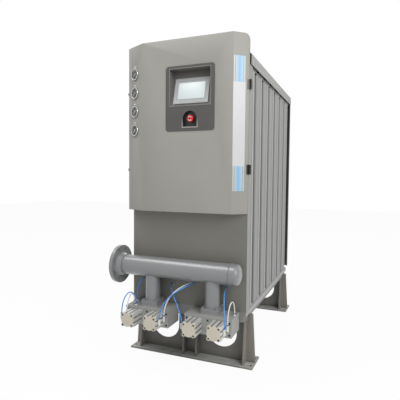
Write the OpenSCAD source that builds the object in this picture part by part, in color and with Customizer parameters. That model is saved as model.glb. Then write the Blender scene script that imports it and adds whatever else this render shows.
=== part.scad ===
// Modular desiccant air dryer: twin towers of extruded columns on two stands,
// with a hinged control hood, an inlet manifold and two actuated valve blocks.
// Frame: origin on the floor, midway between the two stands, X right, Y back, Z up.

/* [Stack of columns] */
// Number of column modules
module_count = 7; // [5:1:9]
// Module to module distance
module_pitch = 174; // [168:1:190]
// Gap between neighbouring modules
module_gap = 2; // [1:0.5:4]
// Height of a column
column_h = 1306; // [1000:1:1500]
// Half width of a column pair, to its flat side
column_half_w = 346; // [340:1:348]
// Gap between the left and the right column
column_split = 4; // [2:1:10]
// Diameter of a desiccant chamber
chamber_d = 152; // [130:1:154]
// Distance of the inner chamber from the middle plane
chamber_inner_x = 86; // [84:1:90]
// Distance of the outer chamber from the middle plane
chamber_outer_x = 248; // [244:1:250]
// Wall around a desiccant chamber
chamber_wall = 6; // [5:0.5:8]
// Width of the ridge on a column's side
ridge_w = 28; // [20:1:34]
// Height of the ridge on a column's side
ridge_h = 3; // [1:0.5:4]
// Width of the groove behind the ridge
groove_w = 46; // [36:1:50]
// Depth of the groove behind the ridge
groove_d = 14; // [8:1:16]
// Thickness of a column gasket
gasket_t = 2; // [1:0.5:3]
// Thickness of a bed screen
screen_t = 4; // [3:0.5:6]

/* [Manifolds] */
// How far the bottom manifold stands out past the columns' flat side
rail_out = 6; // [4:1:14]
// Height of the bottom manifold's side rails
rail_h = 65; // [60:1:80]
// Bevel on the upper edge of the side rails
rail_bevel = 14; // [8:1:18]
// Distance of each gallery from the middle plane
gallery_x = 182; // [176:1:188]
// Width of a gallery body under the deck
gallery_w = 134; // [120:1:140]
// Bore of a bottom gallery
gallery_d = 64; // [50:1:66]
// Height of the top manifold
top_manifold_h = 75; // [66:1:82]
// Bore of a top gallery
top_gallery_d = 44; // [30:1:46]
// Depth of the plenum above and below the chambers
plenum_h = 10; // [6:1:12]

/* [Stands] */
// Height of the pads' top above the floor
stand_h = 265; // [240:1:300]
// Width of the base plate
base_w = 770; // [740:1:800]
// Depth of the base plate
base_d = 165; // [150:1:180]
// Thickness of the base plate and the web
plate_t = 10; // [8:1:14]
// Diameter of an anchor hole
anchor_d = 16; // [12:0.5:20]
// Distance of the anchor holes from the base plate's ends
anchor_inset = 19; // [15:1:30]
// Distance of the anchor holes from the web's mid plane
anchor_offset_y = 48; // [40:1:60]
// Radius of the U notches
notch_r = 76; // [72:1:80]
// Height of the notch centres above the floor
notch_z = 141; // [120:1:160]
// Distance of the front web from the first module
front_web_inset = 97; // [80:1:110]
// Distance of the rear web from the last module
rear_web_inset = 73; // [70:1:110]

/* [Panels] */
// Sheet thickness of the front panel
panel_t = 3; // [2:0.5:4]
// How far the front panel stands out past the columns' flat side
panel_out = 6; // [5:0.5:8]
// Depth of the front panel's side returns
panel_return = 25; // [15:1:40]
// Height of the front panel's lower edge above the floor
panel_bottom = 323; // [321:1:326]
// Height of the front panel above the top cover
panel_above = 62; // [40:1:90]
// How far the top cover stands out past the columns' flat side
cover_out = 16; // [12:1:22]
// Height of the top cover's side skirts
cover_skirt = 62; // [45:1:70]
// Distance from the last module to the rear panel
rear_gap = 26; // [20:1:40]

/* [Inlet] */
// Outer diameter of the inlet pipe
pipe_d = 114.3; // [110:0.1:120]
// Wall of the inlet and outlet pipes
pipe_wall = 4; // [3:0.5:5]
// Height of the inlet pipe's axis above the floor
pipe_z = 541; // [520:1:560]
// Distance of the inlet pipe's axis from the front panel
pipe_out = 70; // [64:1:80]
// Distance of the inlet flange's face from the middle plane
flange_x = 409; // [390:1:430]
// Diameter of the pipe flanges
flange_d = 220; // [210:1:240]
// Thickness of the pipe flanges
flange_t = 20; // [16:1:26]
// Bolt circle of the pipe flanges
flange_pcd = 180; // [172:1:184]
// Bolt holes in the pipe flanges
flange_holes = 8; // [4:4:8]
// Diameter of the flange bolt holes
flange_hole_d = 18; // [14:0.5:20]
// Distance of the domed cap's seam from the middle plane
cap_seam_x = 286; // [270:1:295]
// Outer diameter of the branches
branch_d = 82.5; // [70:0.5:90]
// Size of the square branch flanges
branch_flange = 104; // [96:1:116]
// Thickness of the square branch flanges
branch_flange_t = 24; // [16:1:28]

/* [Valve blocks] */
// Width of a valve block
block_w = 264; // [250:1:280]
// Depth of a valve block
block_d = 138; // [130:1:146]
// Height of a valve block
block_h = 98; // [92:1:100]
// Height of a valve block's bottom above the floor
block_z = 225; // [218:1:226]
// Gap between a valve block and the front panel's plane
block_gap = 4; // [2:1:8]
// Height of the pad under a branch flange
block_pad = 8; // [4:1:14]
// Distance of the two actuators from a block's middle
actuator_x = 68; // [60:1:72]
// Size of the square actuator profile
actuator_w = 74; // [70:1:78]
// Length of an actuator body
actuator_l = 86; // [80:1:110]
// Thickness of an actuator end cap
actuator_cap_t = 12; // [8:1:16]
// Bore of an actuator
actuator_bore = 60; // [50:1:62]
// Stroke of a valve
valve_stroke = 22; // [10:1:26]

/* [Hood] */
// Height of the hood's lower edge above the floor
hood_z0 = 860; // [800:1:900]
// Height of the hood
hood_h = 947; // [900:1:960]
// Depth of the hood in front of the panel
hood_d = 65; // [60:1:80]
// Sheet thickness of the hood
hood_t = 2; // [1.5:0.5:3]
// Gap between the hood's rear edge and the panel
hood_gap = 3; // [2:0.5:5]
// How far the left rear edge stands out past the front panel
hood_left_out = 31; // [24:1:38]
// Distance of the left fold from the middle plane
fold_left = 258; // [250:1:264]
// Distance of the right fold from the middle plane
fold_right = 281; // [274:1:284]
// Radius of the hood's upper right rear corner
hood_corner_r = 30; // [20:1:40]
// Depth of the lock flange on the left
lock_flange = 31; // [26:1:36]

/* [Fascia] */
// Width of the dark fascia
fascia_w = 288; // [280:1:300]
// Height of the dark fascia
fascia_h = 354; // [346:1:360]
// Thickness of the fascia's front plate
fascia_t = 2; // [1.5:0.5:3]
// Position of the fascia's middle to the right of the middle plane
fascia_x = 37; // [30:1:44]
// Height of the fascia's middle above the floor
fascia_z = 1483; // [1470:1:1496]
// Width of the screen pocket
pocket_w = 243; // [236:1:250]
// Height of the screen pocket
pocket_h = 202; // [196:1:206]
// Depth of the screen pocket at its top
pocket_d = 55; // [30:1:56]
// Width of the touch panel
screen_w = 204; // [190:1:210]
// Height of the touch panel
screen_h = 148; // [140:1:154]
// Width of the emergency stop recess
stop_w = 89; // [80:1:96]
// Depth of the emergency stop recess
stop_d = 22; // [16:1:26]
// Diameter of the emergency stop button
stop_button_d = 40; // [34:1:44]
// Travel of the emergency stop button
stop_travel = 5; // [3:0.5:6]

/* [Gauges, locks and hinges] */
// Diameter of a gauge bezel
gauge_d = 66; // [60:1:72]
// Height of the lowest gauge above the floor
gauge_z0 = 1326; // [1310:1:1340]
// Distance between gauges
gauge_pitch = 107; // [100:1:112]
// Distance of the gauges from the left fold
gauge_s = 74; // [66:1:84]
// Heights of the locks and hinges above the floor
latch_z = [1097, 1545]; // [1000:1:1700]
// Length of a hinge barrel
hinge_l = 51; // [45:3:66]
// Diameter of a hinge barrel
hinge_d = 14; // [12:1:16]
// Distance of the hinge axis from the panel's side
hinge_out = 8.5; // [8.5:0.5:10]
// Diameter of a hinge pin
hinge_pin_d = 6; // [5:0.5:7]
// Radial clearance of pins and shafts
pin_clear = 0.05; // [0.03:0.01:0.1]
// Width of the label strip on the right wing
label_w = 70; // [60:1:76]
// Lower and upper height of the label strip
label_z = [983, 1688]; // [900:1:1780]

/* [Outlet] */
// Distance of the outlet pipe's axis below the top galleries
outlet_drop = 21; // [14:1:30]
// Distance of the outlet pipe's axis behind the last module
outlet_back = 125; // [115:1:140]
// Outer diameter of the outlet branches
outlet_branch_d = 48.3; // [44:0.1:48.5]
// Distance of the outlet pipe's closed end from the middle plane
outlet_end_x = 300; // [260:1:310]
// Travel of a check valve disc
check_travel = 12; // [6:1:14]

/* [Tubes] */
// Outer diameter of the pneumatic tubes
tube_d = 6; // [4:1:8]

/* [Hidden] */
$fn = 48;
eps = 0.5;
rail_half_w = column_half_w + rail_out;
panel_half_w = column_half_w + panel_out;
cover_half_w = column_half_w + cover_out;
hood_left = panel_half_w + hood_left_out;
anchor_span_x = base_w - 2 * anchor_inset;
slide_clear = 0.4;
paint = [0.60, 0.60, 0.57];
paint_light = [0.68, 0.68, 0.66];
dark_steel = [0.30, 0.30, 0.30];
alu = [0.78, 0.78, 0.77];
black = [0.08, 0.08, 0.08];
fascia_grey = [0.32, 0.31, 0.30];
beige = [0.74, 0.70, 0.62];
white = [0.93, 0.93, 0.92];
tube_blue = [0.20, 0.50, 0.80];

// Places along Y, from the two webs outwards
stack_l = module_count * module_pitch - module_gap;
web_pitch = stack_l - front_web_inset - rear_web_inset;
stack_y0 = -web_pitch / 2 - front_web_inset;
stack_y1 = stack_y0 + stack_l;
front_y = stack_y0 - panel_t;
// Heights, from the floor upwards
deck_z = stand_h + rail_h;
column_z0 = deck_z + gasket_t;
column_z1 = column_z0 + column_h;
top_z0 = column_z1 + gasket_t;
top_z1 = top_z0 + top_manifold_h;
cover_z1 = top_z1 + panel_t;
skirt_z = cover_z1 - cover_skirt;
module_d = module_pitch - module_gap;
// Bottom manifold
gallery_z = deck_z - plenum_h - 4 - gallery_d / 2;
gallery_floor = gallery_z - gallery_d / 2 - 7;
gallery_chamfer = 17;
deck_low = deck_z - 30;
port_r = 25;
plenum_w = 232;
plenum_d = 124;
plenum_x = (chamber_inner_x + chamber_outer_x) / 2;
rail_w = 52;
keel_half_w = 60;
boundary_notch = 14;
gallery_blind = 40;
neck_half_w = gallery_w / 2 - 1;
neck_top = panel_bottom - 4;
// Top manifold
top_gallery_z = top_z0 + plenum_h + 4 + top_gallery_d / 2;
outlet_z = top_gallery_z - outlet_drop;
top_port_r = 18;
shoulder_in = 30;
shoulder_low = 4;
shoulder_high = 40;
shoulder_run = 95;
// Stands
stand_top_half_w = rail_half_w + 14;
stand_foot_half_w = base_w / 2 - 3;
pad_t = 10;
pad_half_d = 45;
web_top = stand_h - pad_t;
rib_x = [41, 345];
rib_foot = 65;
rib_top = 36;
// Inlet, valve blocks and actuators
pipe_y = front_y - pipe_out;
pipe_r = pipe_d / 2;
pipe_bore_r = pipe_r - pipe_wall;
cap_skirt = 28;
cap_rise = 35;
dome_r = ((pipe_r + 1) * (pipe_r + 1) + cap_rise * cap_rise) / (2 * cap_rise);
neck_cone_l = 24;
branch_bolt = 40;
block_y1 = front_y - block_gap;
block_y0 = block_y1 - block_d;
block_z1 = block_z + block_h;
block_lid = 10;
branch_drop = pipe_z - block_z1 - block_pad;
lid_lip = 2;
branch_r = branch_d / 2;
branch_bore_r = branch_r - pipe_wall;
actuator_z = block_z + block_h / 2;
actuator_y1 = block_y0;
actuator_y0 = actuator_y1 - actuator_l;
actuator_wall = 12;
rod_r = 8;
piston_l = 18;
poppet_r = 29;
poppet_t = 8;
valve_chamber_r = 33;
valve_chamber_l = block_d - 20;
actuators = [-gallery_x - actuator_x, -gallery_x + actuator_x,
    gallery_x - actuator_x, gallery_x + actuator_x];
fitting_side = [-1, 1, -1, 1];
silencer_x = 88;
silencer_z = gallery_z - 16;
exhaust_r = 8;
cross_r = 22;
block_screw_r = 6;
silencer_r = 20;
silencer_l = 78;
slot_x = 13;
slot_w = 5;
slot_d = 3;
cap_boss_r = 16;
cap_lobe = actuator_w / 2 - 10;
cap_lobe_r = 9.5;
cap_screw_r = 5.5;
piston_y0 = actuator_y1 - actuator_wall - 4 - piston_l;
poppet_y1 = block_y0 + valve_chamber_l - 12;
fitting_r = 6.5;
fitting_reach = 12;
fitting_rise = 24;
fitting_y = [actuator_y0 + 14, actuator_y1 - 18];
// Hood plan, counted from the panel's front face
hood_z1 = hood_z0 + hood_h;
hood_back = front_y - hood_gap;
hood_front = front_y - hood_d;
hood_right = panel_half_w;
wing_depth = hood_d - hood_gap;
left_run = hood_left - fold_left;
right_run = hood_right - fold_right;
left_angle = atan2(wing_depth, left_run);
right_angle = atan2(wing_depth, right_run);
right_len = norm([wing_depth, right_run]);
// Fascia pockets
fascia_front = hood_front - fascia_t;
pocket_z0 = fascia_z - 40;
pocket_z1 = pocket_z0 + pocket_h;
pocket_wall = 2;
pocket_sill = 4;
pocket_tilt = atan2(pocket_d - pocket_sill, pocket_h);
window_w = pocket_w + 2 * pocket_wall + 2;
window_z0 = fascia_z - fascia_h / 2 + 12;
window_z1 = pocket_z1 + pocket_wall + 1;
bezel_t = 6;
screen_box_w = 180;
screen_box_d = 20;
screen_box_h = 84;
stop_x = fascia_x + 2;
stop_z = fascia_z - 110;
stop_wall = 2.5;
stop_stem_r = 8;
stop_collar_r = 15;
stop_collar_h = 8;
stop_h = stop_w + 2;
stop_bottom = stop_z - stop_h + stop_w / 2;
stop_floor = fascia_front + stop_d;
stop_head_y = stop_floor - stop_collar_h - stop_travel - 0.5;
// Gauges and locks
gauge_r = gauge_d / 2;
gauge_case_r = gauge_r - 4;
gauge_case_l = 15;
gauge_rim = 6;
dial_z = 2;
needle_t = 1;
needle_z = dial_z + 0.5;
needle_hub_r = 4;
needle_shaft_r = 1.5;
needle_len = gauge_r - 10;
needle_zero = -135;
lock_head_r = 12;
lock_head_t = 7;
lock_barrel_r = 8;
lock_y = hood_back + lock_flange / 2;
tongue_t = 3;
tongue_x = hood_left - 14;
tongue_l = 26;
tongue_w = 10;
keeper_rise = 20;
keeper_h = 20;
keeper_t = 4;
keeper_in = 1;
keeper_clear = 6;
// Hinges
hinge_x = panel_half_w + hinge_out;
hinge_y = hood_back + 1;
leaf_t = 3;
knuckle_gap = 0.25;
leaf_tab = hinge_l / 3 - 3;
leaf_w = 9;
label_t = 0.6;
// Control gear behind the hood
gear_w = 460;
gear_z0 = 890;
gear_h = 400;
gear_stand = 10;
gear_sheet = 2;
gear_y = front_y - gear_stand - gear_sheet;
rail_depth = 7.5;
din_h = 35;
din_z = [gear_z0 + 0.475 * gear_h, gear_z0 + 0.8 * gear_h];
din_l = 420;
device_y = gear_y - rail_depth;
device_x = -din_l / 2 + 10;
plc_w = 140;
plc_h = 90;
plc_d = 28;
plc_face_d = 8;
plc_face_in = 4;
supply_w = 70;
supply_d = 34;
supply_x = device_x + plc_w + 20;
relay_w = 22;
relay_pitch = 24;
relay_x = supply_x + supply_w + 20;
relay_h = 76;
terminal_h = 52;
terminal_d = 36;
terminal_foot = 14;
terminal_pitch = 9;
terminal_count = 24;
pilot_count = 6;
pilot_pitch = 26;
// Outlet
outlet_y = stack_y1 + outlet_back;
outlet_branch_r = outlet_branch_d / 2;
outlet_bore_r = outlet_branch_r - pipe_wall;
outlet_flange_t = 14;
outlet_flange_w = 116;
outlet_flange_h = 52;
seat_y = stack_y1 + 26;
seat_t = 6;
seat_r = 12;
check_r = 16;
check_t = 5;
check_stem_r = 4;
check_y = seat_y + seat_t + 0.4;
guide_y = check_y + check_t + check_travel + 4;
guide_t = 6;
guide_hole_at = 12;
guide_hole_r = 5;
rear_t = 4;
cover_y1 = stack_y1 + rear_gap + rear_t + 2;

// Outlines
rail_profile = mirrored([[keel_half_w, stand_h], [keel_half_w, deck_low],
    [gallery_x - gallery_w / 2, deck_low],
    [gallery_x - gallery_w / 2, gallery_floor + gallery_chamfer],
    [gallery_x - gallery_w / 2 + gallery_chamfer, gallery_floor],
    [gallery_x + gallery_w / 2 - gallery_chamfer, gallery_floor],
    [gallery_x + gallery_w / 2, gallery_floor + gallery_chamfer],
    [gallery_x + gallery_w / 2, deck_low], [rail_half_w - rail_w, deck_low], [rail_half_w - rail_w, stand_h],
    [rail_half_w, stand_h], [rail_half_w, deck_z - rail_bevel], [rail_half_w - rail_bevel, deck_z]]);
ridge_y1 = module_d - groove_w;
ridge_y0 = ridge_y1 - ridge_w;
column_outline = [[column_split / 2, 0], [column_half_w - 6, 0],
    [column_half_w, 6], [column_half_w, ridge_y0],
    [column_half_w + ridge_h, ridge_y0 + ridge_h], [column_half_w + ridge_h, ridge_y1],
    [column_half_w - groove_d, ridge_y1 + 7], [column_half_w - groove_d, module_d],
    [column_split / 2, module_d]];
core_wall = module_d / 2 - chamber_d / 2 - chamber_wall + 1;
column_core = [[column_split / 2 + core_wall + 1, core_wall], [column_half_w - 12, core_wall],
    [column_half_w - 12, ridge_y1 - 4], [column_half_w - groove_d - core_wall, ridge_y1 + 3],
    [column_half_w - groove_d - core_wall, module_d - core_wall],
    [column_split / 2 + core_wall + 1, module_d - core_wall]];
gasket_in = column_split / 2 + 4;
gasket_out = column_half_w - groove_d - 2;
plan_a = [-hood_left, lock_flange - hood_gap];
plan_b = [-hood_left, -hood_gap];
plan_c = [-fold_left, -hood_d];
plan_d = [fold_right, -hood_d];
plan_e = [hood_right, -hood_gap];
right_along = unit(plan_e - plan_d);
inside_e = plan_e + hood_t * left_normal(right_along) + 10 * right_along;
inside_b = mitre(plan_a, plan_b, plan_c, hood_t);
hood_inside = [[inside_b.x, inside_e.y], inside_b, mitre(plan_b, plan_c, plan_d, hood_t),
    mitre(plan_c, plan_d, plan_e, hood_t), inside_e];

// Guide points of the free tubes, [x, y from the panel's front face, z]
tube_guides = [
    [[-299, -214, 298], [-299, -214, 430], [-262, -124, 440], [-262, -124, 332]],
    [[-299, -160, 298], [-299, -160, 390], [-299, -80, 410], [-299, -80, 332]],
    [[-300, -44, 332], [-300, -44, 420], [-252, -90, 470], [-252, -8, 470]],
    [[-65, -214, 298], [-65, -214, 440], [72, -120, 470], [72, -8, 470]],
    [[-65, -160, 298], [-65, -160, 440], [50, -90, 470], [50, -8, 470]],
    [[-90, -8, 440], [-90, -80, 440], [65, -214, 365], [65, -214, 298]],
    [[252, -8, 470], [252, -110, 470], [299, -214, 430], [299, -214, 298]],
    [[299, -160, 298], [299, -160, 430], [308, -70, 440], [308, -70, 332]],
];
tube_rings = 18;
tube_colours = [tube_blue, white, tube_blue, tube_blue, white, tube_blue, tube_blue, white];
tube_sides = 8;
block_ports = [[-262, -124], [-299, -80], [-300, -44], [308, -70]];
panel_ports = [[-252, 470], [72, 470], [50, 470], [-90, 440], [252, 470]];
block_port_h = 9;
panel_port_l = 8;

function unit(v) = v / norm(v);
function left_normal(v) = [-v.y, v.x];
function mitre(p0, p1, p2, t) =
    let (n1 = left_normal(unit(p1 - p0)), n2 = left_normal(unit(p2 - p1)))
    p1 + t * (n1 + n2) / (1 + n1 * n2);
function mirrored(half) =
    concat(half, [for (i = [len(half) - 1 : -1 : 0]) [-half[i].x, half[i].y]]);
function rrect(w, h, r, n = 4) =
    [for (c = [[1, 1, 0], [-1, 1, 90], [-1, -1, 180], [1, -1, 270]]) for (i = [0 : n])
        [c[0] * (w / 2 - r) + r * cos(c[2] + 90 * i / n), c[1] * (h / 2 - r) + r * sin(c[2] + 90 * i / n)]];
function arch(w, h, n = 16) =
    concat([[-w / 2, 0], [w / 2, 0]],
        [for (i = [0 : n]) [w / 2 * cos(180 * i / n), h - w / 2 + w / 2 * sin(180 * i / n)]]);
function curve(p, t) =
    pow(1 - t, 3) * p[0] + 3 * pow(1 - t, 2) * t * p[1] + 3 * (1 - t) * t * t * p[2] + pow(t, 3) * p[3];
function heading(p, t) =
    pow(1 - t, 2) * (p[1] - p[0]) + 2 * (1 - t) * t * (p[2] - p[1]) + t * t * (p[3] - p[2]);
function module_y(i) = stack_y0 + i * module_pitch;

module slab(low, high) {
    translate(low) cube(high - low);
}
module both_sides() {
    children();
    mirror([1, 0, 0]) children();
}
module rod_x(r, x0, x1) {
    translate([x0, 0, 0]) rotate([0, 90, 0]) cylinder(r = r, h = x1 - x0);
}
module rod_y(r, y0, y1) {
    translate([0, y1, 0]) rotate([90, 0, 0]) cylinder(r = r, h = y1 - y0);
}
module xz_prism(points, y0, y1) {
    translate([0, y1, 0]) rotate([90, 0, 0]) linear_extrude(y1 - y0) polygon(points);
}
module yz_prism(points, x0, x1) {
    translate([x0, 0, 0]) rotate([90, 0, 90]) linear_extrude(x1 - x0) polygon(points);
}

// Stands

module stand() {
    color(dark_steel) difference() {
        union() {
            slab([-base_w / 2, -base_d / 2, 0], [base_w / 2, base_d / 2, plate_t]);
            xz_prism([[-stand_foot_half_w, plate_t], [stand_foot_half_w, plate_t],
                [stand_top_half_w, web_top], [-stand_top_half_w, web_top]], -plate_t / 2, plate_t / 2);
            slab([-keel_half_w, -pad_half_d, web_top], [keel_half_w, pad_half_d, stand_h]);
            both_sides() {
                slab([rail_half_w - rail_w - 4, -pad_half_d, web_top],
                    [rail_half_w + 4, pad_half_d, stand_h]);
                for (x = rib_x)
                    yz_prism([[-rib_foot, plate_t], [rib_foot, plate_t], [rib_top, web_top],
                        [-rib_top, web_top]], x - plate_t / 2, x + plate_t / 2);
            }
        }
        both_sides() {
            translate([gallery_x, 0, notch_z]) rod_y(notch_r, -plate_t, plate_t);
            slab([gallery_x - notch_r + eps, -plate_t, notch_z],
                [gallery_x + notch_r - eps, plate_t, web_top + eps]);
            for (y = [-anchor_offset_y, anchor_offset_y])
                translate([anchor_span_x / 2, y, -eps]) cylinder(d = anchor_d, h = plate_t + 2 * eps);
        }
    }
}
module front_stand() {
    translate([0, -web_pitch / 2, 0]) stand();
}
module rear_stand() {
    translate([0, web_pitch / 2, 0]) stand();
}

// Manifolds and columns

module plenum(i, z) {
    y = module_y(i) + module_d / 2;
    slab([plenum_x - plenum_w / 2, y - plenum_d / 2, z],
        [plenum_x + plenum_w / 2, y + plenum_d / 2, z + plenum_h]);
}
module chambers(i, d, z, h) {
    for (x = [chamber_inner_x, chamber_outer_x])
        translate([x, module_y(i) + module_d / 2, z]) cylinder(d = d, h = h);
}
module bottom_manifold() {
    color(paint_light) difference() {
        union() {
            xz_prism(rail_profile, stack_y0, stack_y1);
            both_sides() slab([gallery_x - neck_half_w, block_y1, gallery_floor],
                [gallery_x + neck_half_w, stack_y0 + eps, neck_top]);
        }
        both_sides() {
            translate([gallery_x, 0, gallery_z])
                rod_y(gallery_d / 2, block_y1 - eps, stack_y1 - gallery_blind);
            for (i = [0 : module_count - 1]) {
                plenum(i, deck_z - plenum_h + 0.001);
                translate([gallery_x, module_y(i) + module_d / 2, gallery_z])
                    cylinder(r = port_r, h = deck_z - plenum_h / 2 - gallery_z);
            }
            for (i = [1 : module_count - 1])
                translate([0, module_y(i) - module_gap / 2, deck_z])
                    yz_prism([[-boundary_notch / 2, eps], [0, -boundary_notch], [boundary_notch / 2, eps]],
                        rail_half_w - rail_bevel - 8, rail_half_w + eps);
        }
    }
}
module column_gaskets() {
    color(black) for (i = [0 : module_count - 1]) for (z = [deck_z, column_z1]) both_sides() difference() {
        slab([gasket_in, module_y(i) + 3, z], [gasket_out, module_y(i) + module_d - 3, z + gasket_t]);
        chambers(i, chamber_d - 8, z - eps, gasket_t + 2 * eps);
    }
}
module column_module(n) {
    color(paint_light) if (n <= module_count) both_sides() difference() {
        translate([0, module_y(n - 1), column_z0]) linear_extrude(column_h) polygon(column_outline);
        chambers(n - 1, chamber_d, column_z0 - eps, column_h + 2 * eps);
        difference() {
            translate([0, module_y(n - 1), column_z0 - eps])
                linear_extrude(column_h + 2 * eps) polygon(column_core);
            chambers(n - 1, chamber_d + 2 * chamber_wall, column_z0 - 2 * eps, column_h + 4 * eps);
        }
    }
}
module desiccant_beds() {
    color(white) for (i = [0 : module_count - 1]) both_sides()
        chambers(i, chamber_d - 1, column_z0 + screen_t, column_h - 2 * screen_t);
}
module bed_screens() {
    color(alu) for (i = [0 : module_count - 1]) both_sides() {
        chambers(i, chamber_d - 1, column_z0, screen_t);
        chambers(i, chamber_d - 1, column_z1 - screen_t, screen_t);
    }
}
module top_manifold() {
    color(paint_light) difference() {
        slab([-column_half_w, stack_y0, top_z0], [column_half_w, stack_y1, top_z1]);
        both_sides() {
            translate([gallery_x, 0, top_gallery_z])
                rod_y(top_gallery_d / 2, stack_y0 + gallery_blind, stack_y1 + eps);
            for (i = [0 : module_count - 1]) {
                plenum(i, top_z0 - 0.001);
                translate([gallery_x, module_y(i) + module_d / 2, top_z0 + plenum_h / 2])
                    cylinder(r = top_port_r, h = top_gallery_z - top_z0 - plenum_h / 2);
                translate([0, module_y(i) + module_gap, top_z0])
                    yz_prism([[0, shoulder_low], [shoulder_run, shoulder_high], [0, shoulder_high]],
                        column_half_w - shoulder_in, column_half_w + eps);
            }
        }
    }
}

// Panels

module front_panel() {
    color(paint) {
        slab([-panel_half_w, front_y, panel_bottom], [panel_half_w, stack_y0, cover_z1 + panel_above]);
        both_sides() slab([panel_half_w - panel_t, front_y, panel_bottom],
            [panel_half_w, front_y + panel_return, top_z1 - panel_t]);
        for (z = latch_z)
            slab([-hood_left + keeper_clear, front_y + keeper_in, z + keeper_rise],
                [-panel_half_w + panel_t / 2, front_y + keeper_in + keeper_t, z + keeper_rise + keeper_h]);
    }
}
module rear_panel() {
    color(paint) {
        slab([-panel_half_w + 2, stack_y1 + rear_gap, column_z0 + 3],
            [panel_half_w - 2, stack_y1 + rear_gap + rear_t, column_z1 - 48]);
        both_sides() for (share = [0.13, 0.51, 0.9])
            translate([gallery_x - 32, 0, column_z0 + share * column_h])
                rod_y(12, stack_y1, stack_y1 + rear_gap);
    }
}
module top_cover() {
    color(paint) {
        slab([-cover_half_w, stack_y0 + 1, top_z1], [cover_half_w, cover_y1, cover_z1]);
        both_sides() slab([cover_half_w - panel_t, stack_y0 + 1, skirt_z],
            [cover_half_w, cover_y1, cover_z1]);
    }
}

// Inlet manifold, valve blocks and actuators

module pipe_flange() {
    rod_x(flange_d / 2, 0, flange_t);
    rod_x(flange_pcd / 2 - 21, -2, flange_t);
    translate([flange_t - eps, 0, 0]) rotate([0, 90, 0])
        cylinder(r1 = pipe_r + 13, r2 = pipe_r + 1, h = neck_cone_l);
}
module flange_bolt_holes() {
    for (i = [0 : flange_holes - 1]) rotate([360 * (i + 0.5) / flange_holes, 0, 0])
        translate([0, 0, flange_pcd / 2]) rod_x(flange_hole_d / 2, -eps, flange_t + eps);
}
module branch_bolts() {
    for (x = [-1, 1]) for (y = [-1, 1])
        translate([x * branch_bolt, y * branch_bolt, 0]) cylinder(r = 8, h = 7, $fn = 6);
}
module inlet_manifold() {
    color(paint_light) translate([0, pipe_y, pipe_z]) difference() {
        union() {
            rod_x(pipe_r, -flange_x + 1, cap_seam_x + 5);
            translate([-flange_x + 2, 0, 0]) pipe_flange();
            intersection() {
                rod_x(pipe_r + 1, cap_seam_x, cap_seam_x + cap_skirt + 2 * cap_rise);
                translate([cap_seam_x + cap_skirt + cap_rise - dome_r, 0, 0])
                    rotate([0, 90, 0]) sphere(r = dome_r);
            }
            both_sides() translate([gallery_x, 0, -branch_drop]) {
                cylinder(r = branch_r, h = branch_drop);
                cylinder(r = branch_r + 6, h = branch_flange_t + 6);
                linear_extrude(branch_flange_t) polygon(rrect(branch_flange, branch_flange, 12));
                translate([0, 0, branch_flange_t]) branch_bolts();
            }
        }
        rod_x(pipe_bore_r, -flange_x - eps, cap_seam_x + cap_skirt - 2);
        translate([-flange_x + 2, 0, 0]) flange_bolt_holes();
        both_sides() translate([gallery_x, 0, -branch_drop - eps])
            cylinder(r = branch_bore_r, h = branch_drop);
    }
}
module valve_block() {
    color(dark_steel) difference() {
        union() {
            slab([gallery_x - block_w / 2, block_y0, block_z],
                [gallery_x + block_w / 2, block_y1, block_z1 - block_lid]);
            slab([gallery_x - block_w / 2 - lid_lip, block_y0 - lid_lip, block_z1 - block_lid],
                [gallery_x + block_w / 2 + lid_lip, block_y1, block_z1]);
            translate([gallery_x, pipe_y, block_z1])
                linear_extrude(block_pad) polygon(rrect(branch_flange, branch_flange, 12));
        }
        translate([gallery_x, pipe_y, actuator_z])
            cylinder(r = branch_bore_r, h = block_h + block_pad);
        translate([gallery_x, 0, gallery_z]) rod_y(gallery_d / 2, pipe_y, block_y1 + eps);
        translate([gallery_x, pipe_y, actuator_z]) rod_x(cross_r, -actuator_x, actuator_x);
        for (x = [-actuator_x, actuator_x])
            translate([gallery_x + x, 0, actuator_z])
                rod_y(valve_chamber_r, block_y0 - eps, block_y0 + valve_chamber_l);
        translate([silencer_x, 0, silencer_z])
            rod_y(exhaust_r, block_y0 + valve_chamber_l - 6, block_y1 + eps);
        for (x = [-1, 0, 1]) for (z = [block_z + 14, block_z1 - block_lid - 12])
            translate([gallery_x + x * (block_w / 2 - 12), 0, z])
                rod_y(block_screw_r, block_y0 - eps, block_y0 + 5);
    }
}
module valve_block_left() {
    mirror([1, 0, 0]) valve_block();
}
module valve_block_right() {
    valve_block();
}
module actuator_body(x) {
    translate([x, 0, actuator_z]) difference() {
        xz_prism(rrect(actuator_w, actuator_w, 5, 2), actuator_y0, actuator_y1);
        rod_y(actuator_bore / 2, actuator_y0 - eps, actuator_y1 - actuator_wall);
        rod_y(rod_r + pin_clear, actuator_y0, actuator_y1 + eps);
        for (turn = [0 : 90 : 270]) rotate([0, turn, 0]) for (x = [-slot_x, slot_x])
            slab([x - slot_w / 2, actuator_y0 - eps, actuator_w / 2 - slot_d],
                [x + slot_w / 2, actuator_y1 + eps, actuator_w / 2 + eps]);
    }
}
module actuator_bodies_left() {
    color(alu) for (i = [0, 1]) actuator_body(actuators[i]);
}
module actuator_bodies_right() {
    color(alu) for (i = [2, 3]) actuator_body(actuators[i]);
}
module actuator_caps() {
    color(beige) for (x = actuators) translate([x, 0, actuator_z]) difference() {
        union() {
            rod_y(actuator_w / 2 - 1, actuator_y0 - actuator_cap_t, actuator_y0);
            rod_y(cap_boss_r, actuator_y0 - actuator_cap_t - 2, actuator_y0);
            for (a = [-1, 1]) for (b = [-1, 1])
                translate([a * cap_lobe, 0, b * cap_lobe])
                    rod_y(cap_lobe_r, actuator_y0 - actuator_cap_t, actuator_y0);
        }
        for (a = [-1, 1]) for (b = [-1, 1])
            translate([a * cap_lobe, 0, b * cap_lobe])
                rod_y(cap_screw_r, actuator_y0 - actuator_cap_t - eps, actuator_y0 - actuator_cap_t / 2);
    }
}
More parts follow.
